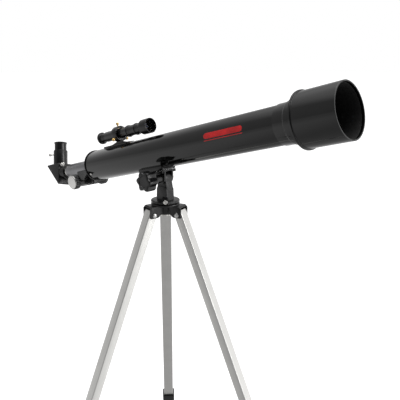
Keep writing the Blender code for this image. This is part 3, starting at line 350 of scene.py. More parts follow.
def metal(name, colour, roughness, lines=(1, 1, 60), depth=0.08, scale=60, darkest=0.8):
    """Bare or plated metal with tool marks drawn out along one direction."""
    made = Nodes(name)
    made.set(metallic=1.0)
    marks = made.noise(scale, 5, 0.6, lines)
    tone = made.noise(45, 4)
    made.link(made.ramp(tone, [(0.25, shade(colour, darkest)), (0.7, colour)]),
              made.shader.inputs["Base Color"])
    made.link(made.ramp(marks, [(0.3, roughness * 0.7), (0.75, roughness * 1.4)]),
              made.shader.inputs["Roughness"])
    made.bump(marks, depth, 0.0003)
    return made.material


def glass(name, colour, film):
    """Coated optical glass: clear, with a thin film that tints what it reflects."""
    made = Nodes(name)
    made.set(transmission_weight=1.0, ior=1.52, metallic=0.0)
    made.shader.inputs["Thin Film Thickness"].default_value = film
    made.shader.inputs["Thin Film IOR"].default_value = 1.38
    made.link(made.ramp(made.noise(20), [(0.3, shade(colour, 0.96)), (0.7, colour)]),
              made.shader.inputs["Base Color"])
    made.link(made.ramp(made.noise(160, 5), [(0.5, 0.0), (0.9, 0.05)]), made.shader.inputs["Roughness"])
    return made.material


MATERIALS = {
    "tube_gloss": enamel("tube_enamel", (0.0036, 0.0037, 0.0038), 0.09),
    "moulded_black": plastic("moulded_plastic", (0.0050, 0.0050, 0.0054), 0.24),
    "cast_black": plastic("painted_casting", (0.0058, 0.0058, 0.0062), 0.28, 900, 0.30),
    "draw_grey": metal("painted_draw_tube", (0.30, 0.30, 0.31), 0.34, (1, 1, 14)),
    "nickel": metal("bright_nickel", (0.82, 0.81, 0.78), 0.14),
    "zinc": metal("zinc_plate", (0.70, 0.70, 0.69), 0.26),
    "leg_aluminium": metal("drawn_aluminium", (0.76, 0.755, 0.735), 0.40, (40, 40, 0.5), 0.10, 30, 0.93),
    "rubber": plastic("foot_rubber", (0.016, 0.016, 0.016), 0.72, 700, 0.5),
    "brass": metal("turned_brass", (0.72, 0.50, 0.20), 0.22),
    "eyepiece_black": plastic("eyepiece_lacquer", (0.0070, 0.0070, 0.0078), 0.12, 2400, 0.05),
    "mirror_glass": metal("mirror_coating", (0.90, 0.91, 0.92), 0.03, (1, 1, 1), 0.0),
    "optical_glass": glass("coated_glass", (0.90, 0.97, 1.0), 130),
}
MATT = plastic("matt_inside", (0.0060, 0.0060, 0.0060), 0.75, 1500, 0.4)
SPUN = metal("spun_cap", (0.86, 0.85, 0.83), 0.16, (1, 1, 1), 0.0)
RED = plastic("red_band", (0.62, 0.008, 0.010), 0.30, 1500, 0.05)


# ---------------------------------------------------------------- mesh helpers
def finished(name, mesh, where, body, slot_name, stands_for=(), finish=None):
    """Turn a mesh into a shown piece: placed, painted, and riding on its body."""
    mesh.materials.append(finish or MATERIALS[slot_name])
    mesh.polygons.foreach_set("use_smooth", [True] * len(mesh.polygons))
    mesh.set_sharp_from_angle(angle=SMOOTH_ANGLE)
    made = bpy.data.objects.new(name, mesh)
    bpy.context.scene.collection.objects.link(made)
    made.matrix_world = where
    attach(made, body)
    if stands_for:
        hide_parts(*stands_for)
    return made


def softened(outline, closed, width):
    """Round an outline's corners with short arcs."""
    count = len(outline)
    result = []
    for i, corner in enumerate(outline):
        corner = Vector(corner)
        if not closed and i in (0, count - 1):
            result.append(corner)
            continue
        before = Vector(outline[i - 1]) - corner
        after = Vector(outline[(i + 1) % count]) - corner
        reach = min(width, before.length * CORNER_SHARE, after.length * CORNER_SHARE)
        if corner.x < 1e-6 or reach < SMALLEST_CORNER or before.angle(after) > STRAIGHT_ANGLE:
            result.append(corner)
            continue
        start = corner + before.normalized() * reach
        end = corner + after.normalized() * reach
        for step in range(4):
            t = step / 3
            result.append(start * (1 - t) ** 2 + corner * 2 * t * (1 - t) + end * t * t)
    return result


def outward_mesh(name, shape):
    """Turn an edited shape into a mesh whose faces look outwards."""
    bmesh.ops.recalc_face_normals(shape, faces=shape.faces)
    mesh = bpy.data.meshes.new(name)
    shape.to_mesh(mesh)
    shape.free()
    return mesh


def turned(name, outline, where, body, slot_name, stands_for=(), steps=FINE, width=0.0004, finish=None):
    """Spin an outline of (radius, height) about the frame's Z.  It runs down its outer side, and one
    that does not start on the axis is closed into a ring."""
    closed = outline[0][0] > 1e-6
    points = softened(outline, closed, width)
    shape = bmesh.new()
    corners = [shape.verts.new((point.x, 0, point.y)) for point in points]
    pairs = list(zip(corners, corners[1:]))
    if closed:
        pairs.append((corners[-1], corners[0]))
    edges = [shape.edges.new(pair) for pair in pairs]
    bmesh.ops.spin(shape, geom=corners + edges, cent=(0, 0, 0), axis=(0, 0, 1), angle=math.tau,
                   steps=steps, use_merge=True, use_duplicate=False)
    bmesh.ops.remove_doubles(shape, verts=shape.verts, dist=1e-6)
    return finished(name, outward_mesh(name, shape), where, body, slot_name, stands_for, finish)


def lofted(name, rings, where, body, slot_name, stands_for=(), looped=False):
    """Join rings of points.  Looped, the last is joined to the first; otherwise both are closed."""
    shape = bmesh.new()
    made = [[shape.verts.new(point) for point in ring] for ring in rings]
    count = len(made[0])
    following = made[1:] + made[:1] if looped else made[1:]
    for low, high in zip(made, following):
        for i in range(count):
            j = (i + 1) % count
            shape.faces.new((low[i], low[j], high[j], high[i]))
    if not looped:
        shape.faces.new(made[0])
        shape.faces.new(made[-1])
    return finished(name, outward_mesh(name, shape), where, body, slot_name, stands_for)


def fluted(name, sections, ridges, where, body, slot_name, stands_for, per_ridge):
    """A knob drawn by sections of (radius, depth of its ridges, height)."""
    rings = []
    count = ridges * per_ridge
    for radius, depth, height in sections:
        ring = []
        for i in range(count):
            angle = math.tau * i / count
            reach = radius - depth * (0.5 - 0.5 * math.cos(ridges * angle))
            ring.append((reach * math.cos(angle), reach * math.sin(angle), height))
        rings.append(ring)
    return lofted(name, rings, where, body, slot_name, stands_for)


def rounded_rectangle(width, depth, radius, height, middle):
    """Points round a rectangle, X by Y, with its corners rounded."""
    points = []
    steps = 5
    for turn, (sx, sy) in enumerate(((1, 1), (-1, 1), (-1, -1), (1, -1))):
        for step in range(steps):
            angle = math.pi / 2 * (turn + step / (steps - 1))
            points.append((middle[0] + sx * (width / 2 - radius) + radius * math.cos(angle),
                           middle[1] + sy * (depth / 2 - radius) + radius * math.sin(angle), height))
    return points


def square_tube(name, width, depth, wall, radius, low, high, middle, where, body, slot_name, stands_for):
    """A rectangular tube with softened ends."""
    soft = 0.0003

    def ring(margin, height):
        corner = max(radius - margin, 0.0002)
        return rounded_rectangle(width - 2 * margin, depth - 2 * margin, corner, height, middle)

    rings = [ring(wall, high - soft), ring(wall - soft, high), ring(soft, high), ring(0, high - soft),
             ring(0, low + soft), ring(soft, low), ring(wall - soft, low), ring(wall, low + soft)]
    return lofted(name, rings, where, body, slot_name, stands_for, looped=True)


def smoothing():
    """A node group that shades smooth, apart from edges past the angle."""
    group = bpy.data.node_groups.new("smooth_by_angle", "GeometryNodeTree")
    group.interface.new_socket("Geometry", in_out="INPUT", socket_type="NodeSocketGeometry")
    group.interface.new_socket("Geometry", in_out="OUTPUT", socket_type="NodeSocketGeometry")
    start = group.nodes.new("NodeGroupInput")
    end = group.nodes.new("NodeGroupOutput")
    angle = group.nodes.new("GeometryNodeInputMeshEdgeAngle")
    compare = group.nodes.new("FunctionNodeCompare")
    compare.operation = "LESS_THAN"
    compare.inputs["B"].default_value = SMOOTH_ANGLE
    faces = group.nodes.new("GeometryNodeSetShadeSmooth")
    edges = group.nodes.new("GeometryNodeSetShadeSmooth")
    edges.domain = "EDGE"
    group.links.new(start.outputs[0], faces.inputs["Geometry"])
    group.links.new(faces.outputs[0], edges.inputs["Geometry"])
    group.links.new(angle.outputs["Unsigned Angle"], compare.inputs["A"])
    group.links.new(compare.outputs["Result"], edges.inputs["Shade Smooth"])
    group.links.new(edges.outputs[0], end.inputs[0])
    return group


SMOOTHING = smoothing()


def carried_over(node, slot_name, width=0.0005):
    """Keep a CAD node, with softened edges and its own material."""
    piece = frame["nodes"][node]
    piece.data.materials.clear()
    piece.data.materials.append(MATERIALS[slot_name])
    weld = piece.modifiers.new("weld", "WELD")
    weld.merge_threshold = 0.00001
    flat = piece.modifiers.new("flat", "DECIMATE")
    flat.decimate_type = "DISSOLVE"
    flat.angle_limit = FLAT_ANGLE
    if width:
        edge = piece.modifiers.new("edge", "BEVEL")
        edge.width = width
        edge.segments = 3
        edge.limit_method = "ANGLE"
        edge.angle_limit = BEVEL_ANGLE
        edge.use_clamp_overlap = True
        edge.harden_normals = False
    smooth = piece.modifiers.new("smooth", "NODES")
    smooth.node_group = SMOOTHING


def ring_of(outer, inner, low, high):
    """A plain ring's outline."""
    return [(outer, high), (outer, low), (inner, low), (inner, high)]


# ---------------------------------------------------------------- optical tube
def main_tube():
    turned("main_tube_skin", ring_of(TUBE_RADIUS, TUBE_RADIUS - TUBE_WALL, TUBE_REAR, TUBE_FRONT), TUBE,
           "tube", "tube_gloss", ["main_tube"], TUBE_STEPS, 0.0003)


def front_cell():
    """The cell goes over the tube's front in two steps, and holds the lenses."""
    step_front = TUBE_FRONT + CELL_LENGTH
    nose_front = step_front + NOSE_LENGTH
    rear = TUBE_FRONT - CELL_OVERLAP
    seat = TUBE_FRONT + LENS_SEAT
    over_tube = TUBE_RADIUS + GAP
    bore = LENS_RADIUS + GAP
    shoulder = bore - LENS_SHOULDER
    blend = 0.0005
    outline = [
        (NOSE_RADIUS, nose_front), (NOSE_RADIUS, step_front + blend), (CELL_RADIUS + blend, step_front),
        (CELL_RADIUS, step_front - 2 * blend), (CELL_RADIUS, rear), (over_tube, rear),
        (over_tube, TUBE_FRONT + GAP), (shoulder, TUBE_FRONT + GAP), (shoulder, seat), (bore, seat),
        (bore, nose_front)]
    turned("front_cell_skin", outline, TUBE, "tube", "tube_gloss", ["front_cell"], TUBE_STEPS, 0.0005)


def dew_shield():
    """A sleeve with a lip at the back and fine grooves inside, and its matt lining."""
    mouth = SHIELD_REAR + SHIELD_LENGTH
    lip_front = SHIELD_REAR + SHIELD_LIP_LENGTH
    rim = SHIELD_RADIUS + SHIELD_LIP
    inner = SHIELD_RADIUS - SHIELD_WALL
    over_nose = NOSE_RADIUS + GAP
    blend = 0.0004
    outline = [
        (SHIELD_RADIUS, mouth), (SHIELD_RADIUS, lip_front + blend), (SHIELD_RADIUS + blend, lip_front),
        (rim, lip_front), (rim, SHIELD_REAR), (over_nose, SHIELD_REAR), (over_nose, lip_front),
        (inner, lip_front)]
    start = lip_front + 0.0040
    pitch = (mouth - 0.0120 - start) / SHIELD_GROOVES
    for i in range(SHIELD_GROOVES):
        outline += [(inner, start + i * pitch), (inner - SHIELD_GROOVE_DEPTH, start + (i + 0.5) * pitch)]
    outline += [(inner, start + SHIELD_GROOVES * pitch), (inner, mouth)]
    turned("dew_shield_skin", outline, TUBE, "tube", "tube_gloss", ["dew_shield"], TUBE_STEPS, 0.0005)
    front = mouth - 0.0040
    back = lip_front + 0.0010
    lining = [
        (inner - 0.0001, front), (inner - 0.0001, mouth - 0.0100), (inner - 0.0007, mouth - 0.0110),
        (inner - 0.0007, back), (inner - 0.0012, back), (inner - 0.0012, mouth - 0.0112),
        (inner - 0.0006, front)]
    turned("dew_shield_lining", lining, TUBE, "tube", "moulded_black", (), FINE, 0.0002, MATT)


def lens_outline(radius, low, high, low_bulge, high_bulge):
    """From the axis over the lens's upper face to its edge, and back under it."""
    steps = 10
    shares = [i / steps for i in range(steps + 1)]
    top = [(radius * s, high + high_bulge * (1 - s * s)) for s in shares]
    return top + [(radius * s, low - low_bulge * (1 - s * s)) for s in reversed(shares)]


def lens_stack():
    """The flint and crown lenses, and the ring that keeps them in their cell."""
    flint_low = TUBE_FRONT + LENS_SEAT + GAP
    crown_low = flint_low + LENS_EDGE + GAP
    crown_high = crown_low + LENS_EDGE * 1.5
    ring_low = crown_high + GAP
    flint = lens_outline(LENS_RADIUS, flint_low, flint_low + LENS_EDGE, 0.0, -LENS_BULGE)
    turned("flint_glass", flint, TUBE, "tube", "optical_glass", ["flint_lens"], MEDIUM, 0.0001)
    crown = lens_outline(LENS_RADIUS, crown_low, crown_high, LENS_BULGE, LENS_BULGE)
    turned("crown_glass", crown, TUBE, "tube", "optical_glass", ["crown_lens"], MEDIUM, 0.0001)
    ring = ring_of(LENS_RADIUS, LENS_RADIUS - LENS_RING_WALL, ring_low, ring_low + LENS_RING_LENGTH)
    turned("retaining_ring", ring, TUBE, "tube", "moulded_black", ["lens_ring"], FINE, 0.0004)


def red_band():
    """A plain red bar and a thin line under it, on the side of the tube."""
    radius = TUBE_RADIUS + RED_LIFT
    for name, low, high in RED_BARS:
        edge = radius * math.radians(high - low) / 2
        shape = bmesh.new()
        rows = []
        for i in range(RED_STEPS + 1):
            angle = math.radians(low + (high - low) * i / RED_STEPS)
            off = abs(2 * i / RED_STEPS - 1)
            inset = edge * (1 - math.sqrt(max(0.0, 1 - off * off)))
            for z in (RED_REAR + inset, RED_FRONT - inset):
                rows.append(shape.verts.new((radius * math.cos(angle), radius * math.sin(angle), z)))
        for i in range(RED_STEPS):
            shape.faces.new((rows[2 * i], rows[2 * i + 1], rows[2 * i + 3], rows[2 * i + 2]))
        mesh = bpy.data.meshes.new(f"red_bar_{name}")
        bmesh.ops.recalc_face_normals(shape, faces=shape.faces)
        bmesh.ops.solidify(shape, geom=shape.faces[:], thickness=RED_THICKNESS)
        shape.to_mesh(mesh)
        shape.free()
        finished(f"red_bar_{name}", mesh, TUBE, "tube", "tube_gloss", (), RED)


def cap_screws():
    """Pan-head screws that hold the rear cap in the tube."""
    radius = CAP_SCREW_RADIUS
    height = CAP_SCREW_HEIGHT
    below = -0.0004
    outline = [(0, height), (radius * 0.55, height * 0.92), (radius * 0.88, height * 0.55),
               (radius, height * 0.1), (radius, below), (0, below)]
    for i in range(CAP_SCREWS):
        turn = Matrix.Rotation(math.radians(360 / CAP_SCREWS * i), 4, "Z")
        where = TUBE @ turn @ Matrix.Translation((TUBE_RADIUS, 0, TUBE_REAR + CAP_SCREW_FORWARD)) @ Z_TO_X
        turned(f"cap_screw_{i + 1}", outline, where, "tube", "nickel", (), SMALL, 0.0002)


def optical_tube():
    main_tube()
    front_cell()
    dew_shield()
    lens_stack()
    red_band()
    cap_screws()


# ---------------------------------------------------------------- focuser
def rear_cap():
    """The cap's plug, lip, dished face and the sleeve that the draw tube slides in."""
    plug = TUBE_RADIUS - TUBE_WALL - GAP
    plug_end = TUBE_REAR + CAP_PLUG_LENGTH
    lip = TUBE_RADIUS + CAP_LIP
    rear = TUBE_REAR - CAP_LIP_LENGTH
    sleeve_end = rear - SLEEVE_LENGTH
    bore = DRAW_RADIUS + GAP
    turned("rear_cap", [
        (plug, plug_end), (plug, TUBE_REAR - GAP), (lip, TUBE_REAR - GAP), (lip, rear),
        (TUBE_RADIUS - 0.0002, rear - 0.0006), (TUBE_RADIUS - 0.0040, rear - 0.0010),
        (SLEEVE_RADIUS + 0.0030, rear - 0.0016), (SLEEVE_RADIUS + 0.0006, rear - 0.0024),
        (SLEEVE_RADIUS, rear - 0.0040), (SLEEVE_RADIUS, sleeve_end), (bore, sleeve_end), (bore, plug_end)],
        TUBE, "tube", "moulded_black", (), CAP_STEPS, 0.0005)


def focus_knob(name, side):
    """A ridged grip on its neck, with a spun metal cap in its face."""
    ridge = KNOB_RIDGE_DEPTH
    soft = 0.0010
    nick = soft * 0.3
    radius = KNOB_RADIUS
    start = KNOB_IN - KNOB_NECK_LENGTH
    fluted(f"focus_grip_{name}", [
        (KNOB_BORE, 0, start), (KNOB_NECK_RADIUS - 0.0004, 0, start), (KNOB_NECK_RADIUS, 0, start + 0.0004),
        (KNOB_NECK_RADIUS, 0, KNOB_IN - 0.0008), (KNOB_NECK_RADIUS + 0.0008, 0, KNOB_IN),
        (radius - soft, ridge * 0.3, KNOB_IN), (radius - nick, ridge * 0.8, KNOB_IN + nick),
        (radius, ridge, KNOB_IN + soft), (radius, ridge, KNOB_OUT - soft),
        (radius - nick, ridge * 0.7, KNOB_OUT - nick), (radius - soft, 0, KNOB_OUT),
        (KNOB_BORE, 0, KNOB_OUT)],
        KNOB_RIDGES, side, "focus_pinion", "moulded_black", [f"focus_knob_{name}"], 8)
    low = KNOB_OUT + GAP
    high = low + KNOB_CAP
    rim = radius - 0.0012
    turned(f"focus_cap_{name}", [
        (0, high), (rim * 0.30, high), (rim * 0.86, high - 0.0001), (rim * 0.95, high - 0.0006),
        (rim, low + 0.0004), (rim, low), (0, low)],
        side, "focus_pinion", "nickel", [f"focus_knob_cap_{name}"], MEDIUM, 0.0003, SPUN)


def focuser():
    rear_cap()
    carried_over("focuser_housing", "moulded_black", 0.0004)
    carried_over("pinion_cover", "moulded_black", 0.0003)
    draw = ring_of(DRAW_RADIUS, DRAW_RADIUS - DRAW_WALL, DRAW_REAR, DRAW_REAR + DRAW_LENGTH)
    turned("draw_tube_skin", draw, TUBE, "draw_tube", "draw_grey", ["draw_tube"], FINE, 0.0004)
    carried_over("focus_rack", "nickel", 0.0)
    carried_over("focus_pinion", "nickel", 0.0)
    spin = TUBE @ Matrix.Translation((-PINION_BELOW, 0, PINION_ALONG)) @ Z_TO_Y
    for name, flip in (("near", 0), ("far", 180)):
        focus_knob(name, spin @ Matrix.Rotation(math.radians(flip), 4, "X"))


# ---------------------------------------------------------------- diagonal and eyepiece
def diagonal():
    carried_over("diagonal_body", "moulded_black", 0.0005)
    carried_over("mirror_cover", "moulded_black", 0.0003)
    carried_over("diagonal_mirror", "mirror_glass", 0.0)
    nose = ring_of(EYEPIECE_RADIUS, EYEPIECE_RADIUS - BARREL_WALL, BARREL_SEAT, BARREL_SEAT + BARREL_LENGTH)
    turned("nose_barrel", nose, DIAGONAL, "diagonal", "nickel", ["diagonal_nose"], MEDIUM, 0.0003)
    holder = DIAGONAL @ Z_TO_X
    sleeve = ring_of(HOLDER_RADIUS + SKIN, EYEPIECE_RADIUS + GAP, HOLDER_BASE, HOLDER_TOP + SKIN)
    turned("holder_sleeve", sleeve, holder, "diagonal", "moulded_black", (), MEDIUM, 0.0006)
    eyepiece(holder)


def eyepiece(holder):
    """The barrel with its turned rim, and a lens at each end of it."""
    top = EYEPIECE_TOP
    base = top - EYEPIECE_LENGTH
    radius = EYEPIECE_RADIUS
    rim = radius + EYEPIECE_RIM
    inner = radius - BARREL_WALL
    eye = EYE_LENS_RADIUS
    seat = top - 0.0055
    ledge = top - 0.0070
    turned("eyepiece_shell", [
        (eye + 0.0022, top), (rim - 0.0005, top - 0.0004), (rim, top - 0.0012),
        (rim - 0.0002, top - 0.0022), (radius, top - 0.0038), (radius, base), (inner, base), (inner, ledge),
        (eye - 0.0012, ledge), (eye - 0.0012, seat), (eye + GAP, seat), (eye + GAP, top - 0.0016)],
        holder, "eyepiece", "eyepiece_black", ["eyepiece_barrel"], MEDIUM, 0.0004)
    turned("eye_glass", [
        (0, top - 0.0028), (eye * 0.5, top - 0.0030), (eye, top - 0.0040), (eye, seat + GAP),
        (0, seat + GAP)],
        holder, "eyepiece", "optical_glass", ["eye_lens"], COARSE, 0.0002)
    field = inner - GAP
    turned("field_glass", [
        (0, base + 0.0120), (field, base + 0.0120), (field, base + 0.0104), (field * 0.6, base + 0.0088),
        (0, base + 0.0084)],
        holder, "eyepiece", "optical_glass", ["field_lens"], COARSE, 0.0002)


# ---------------------------------------------------------------- knurled screws
def thumbscrew(name, joint, body, node, slot_name, screw):
    """A knurled head on a neck and a stud, along its joint's axis."""
    where = along(axis_of(joint), place_of(joint), SLANTED)
    neck = screw.head_radius * 0.62
    neck_low = screw.head_low - 0.0012
    soft = min(0.0007, (screw.head_high - screw.head_low) * 0.2)
    dish = screw.head_high - 0.0003
    sections = [
        (0.0001, 0, screw.stud_low), (screw.stud_radius, 0, screw.stud_low),
        (screw.stud_radius, 0, neck_low), (neck, 0, neck_low), (neck, 0, screw.head_low),
        (screw.head_radius - soft, 0, screw.head_low),
        (screw.head_radius, screw.depth, screw.head_low + soft),
        (screw.head_radius, screw.depth, screw.head_high - soft),
        (screw.head_radius - soft, 0, screw.head_high), (screw.head_radius * 0.55, 0, screw.head_high),
        (screw.head_radius * 0.50, 0, dish), (0.0001, 0, dish)]
    fluted(name, sections, screw.ridges, where, body, slot_name, [node], 6)


# ---------------------------------------------------------------- finder
def finder():
    carried_over("finder_bracket", "moulded_black", 0.0004)
    radius = FINDER_RADIUS
    skin = radius - FINDER_WALL
    front = FINDER_FRONT
    flare = front - FINDER_MOUTH_LENGTH
    tail = FINDER_REAR + FINDER_EYE_LENGTH
    mouth = FINDER_MOUTH
    mouth_bore = mouth - FINDER_WALL
    ledge = flare + 0.0100
    ridge = radius + 0.0012
    outline = [(mouth, front), (mouth, front - 0.0180), (mouth - 0.0004, front - 0.0190),
               (radius + 0.0006, flare + 0.0006), (radius, flare)]
    for middle in FINDER_RINGS:
        outline += [(radius, middle + 0.0016), (ridge, middle + 0.0014), (ridge, middle - 0.0014),
                    (radius, middle - 0.0016)]
    outline += [(radius, tail), (skin, tail), (skin, flare + 0.0050), (mouth_bore, ledge),
                (mouth_bore, front)]
    turned("finder_body", outline, FINDER, "tube", "moulded_black", ["finder_tube"], MEDIUM, 0.0005)
    low = ledge + GAP
    turned("finder_glass", lens_outline(mouth_bore - GAP, low, low + 0.0026, 0.0, 0.0014), FINDER, "tube",
           "optical_glass", ["finder_lens"], COARSE, 0.0001)
    finder_eyepiece(skin - GAP, tail + 0.0140)
    for name in ("top", "near", "far"):
        thumbscrew(f"adjusting_screw_{name}", f"finder_screw_{name}_turn", f"finder_screw_{name}",
                   f"finder_screw_{name}", "brass", FINDER_SCREW)


def finder_eyepiece(slip, end):
    """The finder's sliding eyepiece, with a rim and a small eye hole."""
    rear = FINDER_REAR
    rim = FINDER_EYE_RADIUS
    hole = FINDER_EYE_HOLE
    bore = slip - 0.0012
    turned("finder_eye_tube", [
        (slip, end), (slip, rear + 0.0052), (slip + 0.0006, rear + 0.0044), (rim, rear + 0.0038),
        (rim, rear), (hole + 0.0012, rear), (hole, rear + 0.0020), (hole, rear + 0.0050),
        (bore, rear + 0.0060), (bore, end)],
        FINDER, "finder_eyepiece", "moulded_black", ["finder_eyepiece"], MEDIUM, 0.0005)


# ---------------------------------------------------------------- mount
def mount():
    carried_over("tube_shoe", "moulded_black", 0.0006)
    for node in ("saddle", "mount_yoke", "tripod_crown"):
        carried_over(node, "cast_black", 0.0006)
    for node in ("altitude_nut", "azimuth_nut"):
        carried_over(node, "nickel", 0.0003)
    pivot = along(axis_of("altitude_knob_turn"), place_of("altitude_knob_turn"))
    washer_low = TONGUE_THICKNESS / 2 + GAP + CHEEK_THICKNESS + GAP
    washer_high = washer_low + CLAMP_WASHER_THICKNESS
    turned("clamp_washer", ring_of(CLAMP_WASHER_RADIUS, CLAMP_WASHER_BORE, washer_low, washer_high), pivot,
           "yoke", "nickel", ["altitude_washer"], COARSE, 0.0003)
    altitude_knob(pivot, washer_high + GAP)
    low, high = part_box("azimuth_washer")
    middle = (low + high) / 2
    where = Matrix.Translation((middle.x, middle.y, 0))
    turned("turntable_washer", ring_of(TURNTABLE_WASHER_RADIUS, TURNTABLE_WASHER_BORE, low.z, high.z),
           where, "yoke", "nickel", ["azimuth_washer"], COARSE, 0.0002)


def altitude_knob(pivot, shank_low):
    """A lobed knob with a dished face, on its shank and bolt."""
    face = ALTITUDE_KNOB_FACE
    low = face - ALTITUDE_KNOB_THICKNESS
    dish = face - 0.0014
    outer = ALTITUDE_KNOB_RADIUS + ALTITUDE_KNOB_LOBE
    dip = ALTITUDE_KNOB_LOBE * 2
    shank = ALTITUDE_KNOB_SHANK
    bolt = ALTITUDE_BOLT
    sections = [
        (0.0001, 0, ALTITUDE_BOLT_END), (bolt, 0, ALTITUDE_BOLT_END), (bolt, 0, shank_low),
        (shank, 0, shank_low), (shank, 0, low - 0.0020), (shank + 0.0015, 0, low),
        (outer - 0.0030, dip * 0.8, low), (outer - 0.0008, dip, low + 0.0008), (outer, dip, low + 0.0028),
        (outer, dip, face - 0.0034), (outer - 0.0006, dip, face - 0.0014),
        (outer - 0.0022, dip * 0.9, face - 0.0003), (outer - 0.0036, dip * 0.7, face), (0.0098, 0, face),
        (0.0094, 0, face - 0.0004), (0.0088, 0, face - 0.0012), (bolt, 0, dish), (0.0001, 0, dish)]
    fluted("clamp_knob", sections, ALTITUDE_KNOB_LOBES, pivot, "altitude_knob", "moulded_black",
           ["altitude_knob"], 20)


# ---------------------------------------------------------------- tripod
def tripod():
    for letter in "abc":
        z_axis = -axis_of(f"leg_extend_{letter}")
        outward = Vector((-z_axis.x, -z_axis.y, 0)).normalized()
        y_axis = Vector((-outward.y, outward.x, 0))
        hip = axes_frame(y_axis.cross(z_axis), y_axis, z_axis, place_of(f"leg_fold_{letter}"))
        leg(letter, hip)
        leg_hardware(letter, along(y_axis, hip.translation))


def leg(letter, hip):
    """The upper tube, the lower tube inside it, and what clamps and ends the lower one."""
    middle = (LEG_OFFSET, 0)
    square_tube(f"leg_channel_{letter}", LEG_DEPTH, LEG_WIDTH, LEG_WALL, LEG_CORNER, -LEG_UPPER_LENGTH,
                LEG_TOP, middle, hip, f"upper_leg_{letter}", "leg_aluminium", [f"leg_upper_{letter}"])
    width = LEG_WIDTH - 2 * (LEG_WALL + GAP)
    depth = LEG_DEPTH - 2 * (LEG_WALL + GAP)
    slope = math.acos(hip.to_3x3().col[2].z)
    floor_rise = (depth / 2 + FOOT_WALL + LEG_OFFSET) * math.tan(slope)
    low = -LEG_LENGTH + floor_rise + FOOT_SOLE
    high = -LEG_UPPER_LENGTH + LEG_INSERT
    square_tube(f"leg_inner_{letter}", depth, width, LEG_WALL, LOWER_CORNER, low, high, middle, hip,
                f"lower_leg_{letter}", "leg_aluminium", [f"leg_lower_{letter}"])
    carried_over(f"leg_clamp_{letter}", "moulded_black", 0.0006)
    carried_over(f"leg_foot_{letter}", "rubber", 0.0006)


def leg_hardware(letter, across):
    """The pivot bolt with its two domed heads, and the screw that locks the leg's length."""
    half = LEG_BOLT_HALF
    head = LEG_BOLT_HEAD
    dome = [(head * 0.35, half + LEG_BOLT_DOME - 0.0001), (head * 0.75, half + LEG_BOLT_DOME - 0.0006),
            (head, half + 0.0008), (head, half), (LEG_BOLT, half)]
    far_dome = [(radius, -height) for radius, height in reversed(dome)]
    outline = [(0, half + LEG_BOLT_DOME), *dome, *far_dome, (0, -half - LEG_BOLT_DOME)]
    turned(f"pivot_bolt_{letter}", outline, across, "tripod", "zinc", [f"leg_bolt_{letter}"], SMALL, 0.0003)
    thumbscrew(f"clamp_screw_{letter}", f"leg_lock_turn_{letter}", f"leg_lock_{letter}",
               f"leg_lock_screw_{letter}", "moulded_black", LEG_CLAMP_SCREW)


# ---------------------------------------------------------------- studio
def studio():
    scene = bpy.context.scene
    scene.view_settings.view_transform = "Standard"
    scene.world = bpy.data.worlds.new("studio")
    scene.world.use_nodes = True
    room_light(scene.world.node_tree)
    floor()
    lamps()
    camera()


def room_light(tree):
    """White behind what is seen.  What the object reflects is a grey floor, a pale ceiling, a bright wall
    on the right, dimmer ones on the left and behind it, and a dark room behind the camera."""
    nodes, links = tree.nodes, tree.links
    direction = nodes.new("ShaderNodeTexCoord").outputs["Generated"]

    def brightness(towards, stops):
        dot = nodes.new("ShaderNodeVectorMath")
        dot.operation = "DOT_PRODUCT"
        dot.inputs[1].default_value = Vector(towards).normalized()
        links.new(direction, dot.inputs[0])
        share = nodes.new("ShaderNodeMapRange")
        share.inputs["From Min"].default_value = -1
        links.new(dot.outputs["Value"], share.inputs["Value"])
        ramp = nodes.new("ShaderNodeValToRGB")
        ramp.color_ramp.interpolation = "EASE"
        points = ramp.color_ramp.elements
        while len(points) < len(stops):
            points.new(0.5)
        for point, (position, grey) in zip(points, stops):
            point.position = (position + 1) / 2
            point.color = (grey, grey, grey, 1)
        links.new(share.outputs["Result"], ramp.inputs["Fac"])
        return ramp.outputs["Color"]

    def added(first, second):
        total = nodes.new("ShaderNodeVectorMath")
        total.operation = "ADD"
        links.new(first, total.inputs[0])
        links.new(second, total.inputs[1])
        return total.outputs["Vector"]

    light = brightness((0, 0, 1), FLOOR_TO_CEILING)
    for towards, stops in WALLS:
        light = added(light, brightness(towards, stops))
    background = nodes["Background"]
    links.new(light, background.inputs["Color"])
    white = nodes.new("ShaderNodeBackground")
    white.inputs["Color"].default_value = (1, 1, 1, 1)
    seen = nodes.new("ShaderNodeLightPath")
    mix = nodes.new("ShaderNodeMixShader")
    links.new(seen.outputs["Is Camera Ray"], mix.inputs["Fac"])
    links.new(background.outputs[0], mix.inputs[1])
    links.new(white.outputs[0], mix.inputs[2])
    links.new(mix.outputs[0], nodes["World Output"].inputs["Surface"])


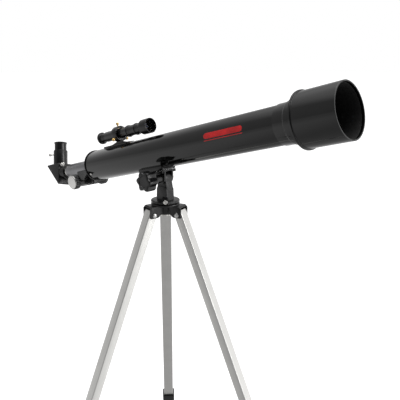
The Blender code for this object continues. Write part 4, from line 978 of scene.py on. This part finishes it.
def floor():
    """Seamless white paper, lit evenly; the object reflects the room instead of it."""
    shape = bmesh.new()
    bmesh.ops.create_circle(shape, cap_ends=True, radius=FLOOR_RADIUS, segments=FINE)
    mesh = bpy.data.meshes.new("studio_floor")
    shape.to_mesh(mesh)
    shape.free()
    made = bpy.data.objects.new("studio_floor", mesh)
    bpy.context.scene.collection.objects.link(made)
    made.visible_glossy = False
    made.visible_diffuse = False
    paper = Nodes("floor_paper")
    paper.link(paper.ramp(paper.noise(3), [(0.3, 0.78), (0.7, 0.80)]), paper.shader.inputs["Base Color"])
    paper.set(roughness=0.95, emission_color=(1, 1, 1, 1), emission_strength=FLOOR_GLOW)
    mesh.materials.append(paper.material)


def lamp(name, size, power, place, target):
    """A rectangular lamp that looks at the target."""
    data = bpy.data.lights.new(name, "AREA")
    data.shape = "RECTANGLE"
    data.size, data.size_y = size
    data.energy = power
    made = bpy.data.objects.new(name, data)
    bpy.context.scene.collection.objects.link(made)
    made.location = place
    made.rotation_euler = (target - place).to_track_quat("-Z", "Y").to_euler()


def lamps():
    target = place_of("altitude")
    lamp("overhead", (2.2, 2.2), 34, target + Vector((0.2, 0.1, 2.4)), target)
    lamp("right", (1.0, 2.0), 22, target + Vector((2.2, 0.9, 0.5)), target)


def camera():
    data = bpy.data.cameras.new("view")
    data.lens = CAMERA_LENS
    data.sensor_width = CAMERA_SENSOR
    made = bpy.data.objects.new("view", data)
    bpy.context.scene.collection.objects.link(made)
    made.location = place_of("altitude") + Vector(CAMERA_PLACE)
    made.rotation_euler = (math.radians(CAMERA_TILT), 0, math.radians(CAMERA_HEADING))
    bpy.context.scene.camera = made


optical_tube()
focuser()
diagonal()
finder()
thumbscrew("holder_screw", "eyepiece_screw_turn", "eyepiece_screw", "eyepiece_screw", "nickel",
           HOLDER_SCREW)
thumbscrew("collar_screw", "nose_screw_turn", "nose_screw", "nose_screw", "nickel", COLLAR_SCREW)
thumbscrew("turntable_screw", "azimuth_lock_turn", "azimuth_lock", "azimuth_lock_screw", "nickel",
           TURNTABLE_SCREW)
mount()
tripod()
studio()
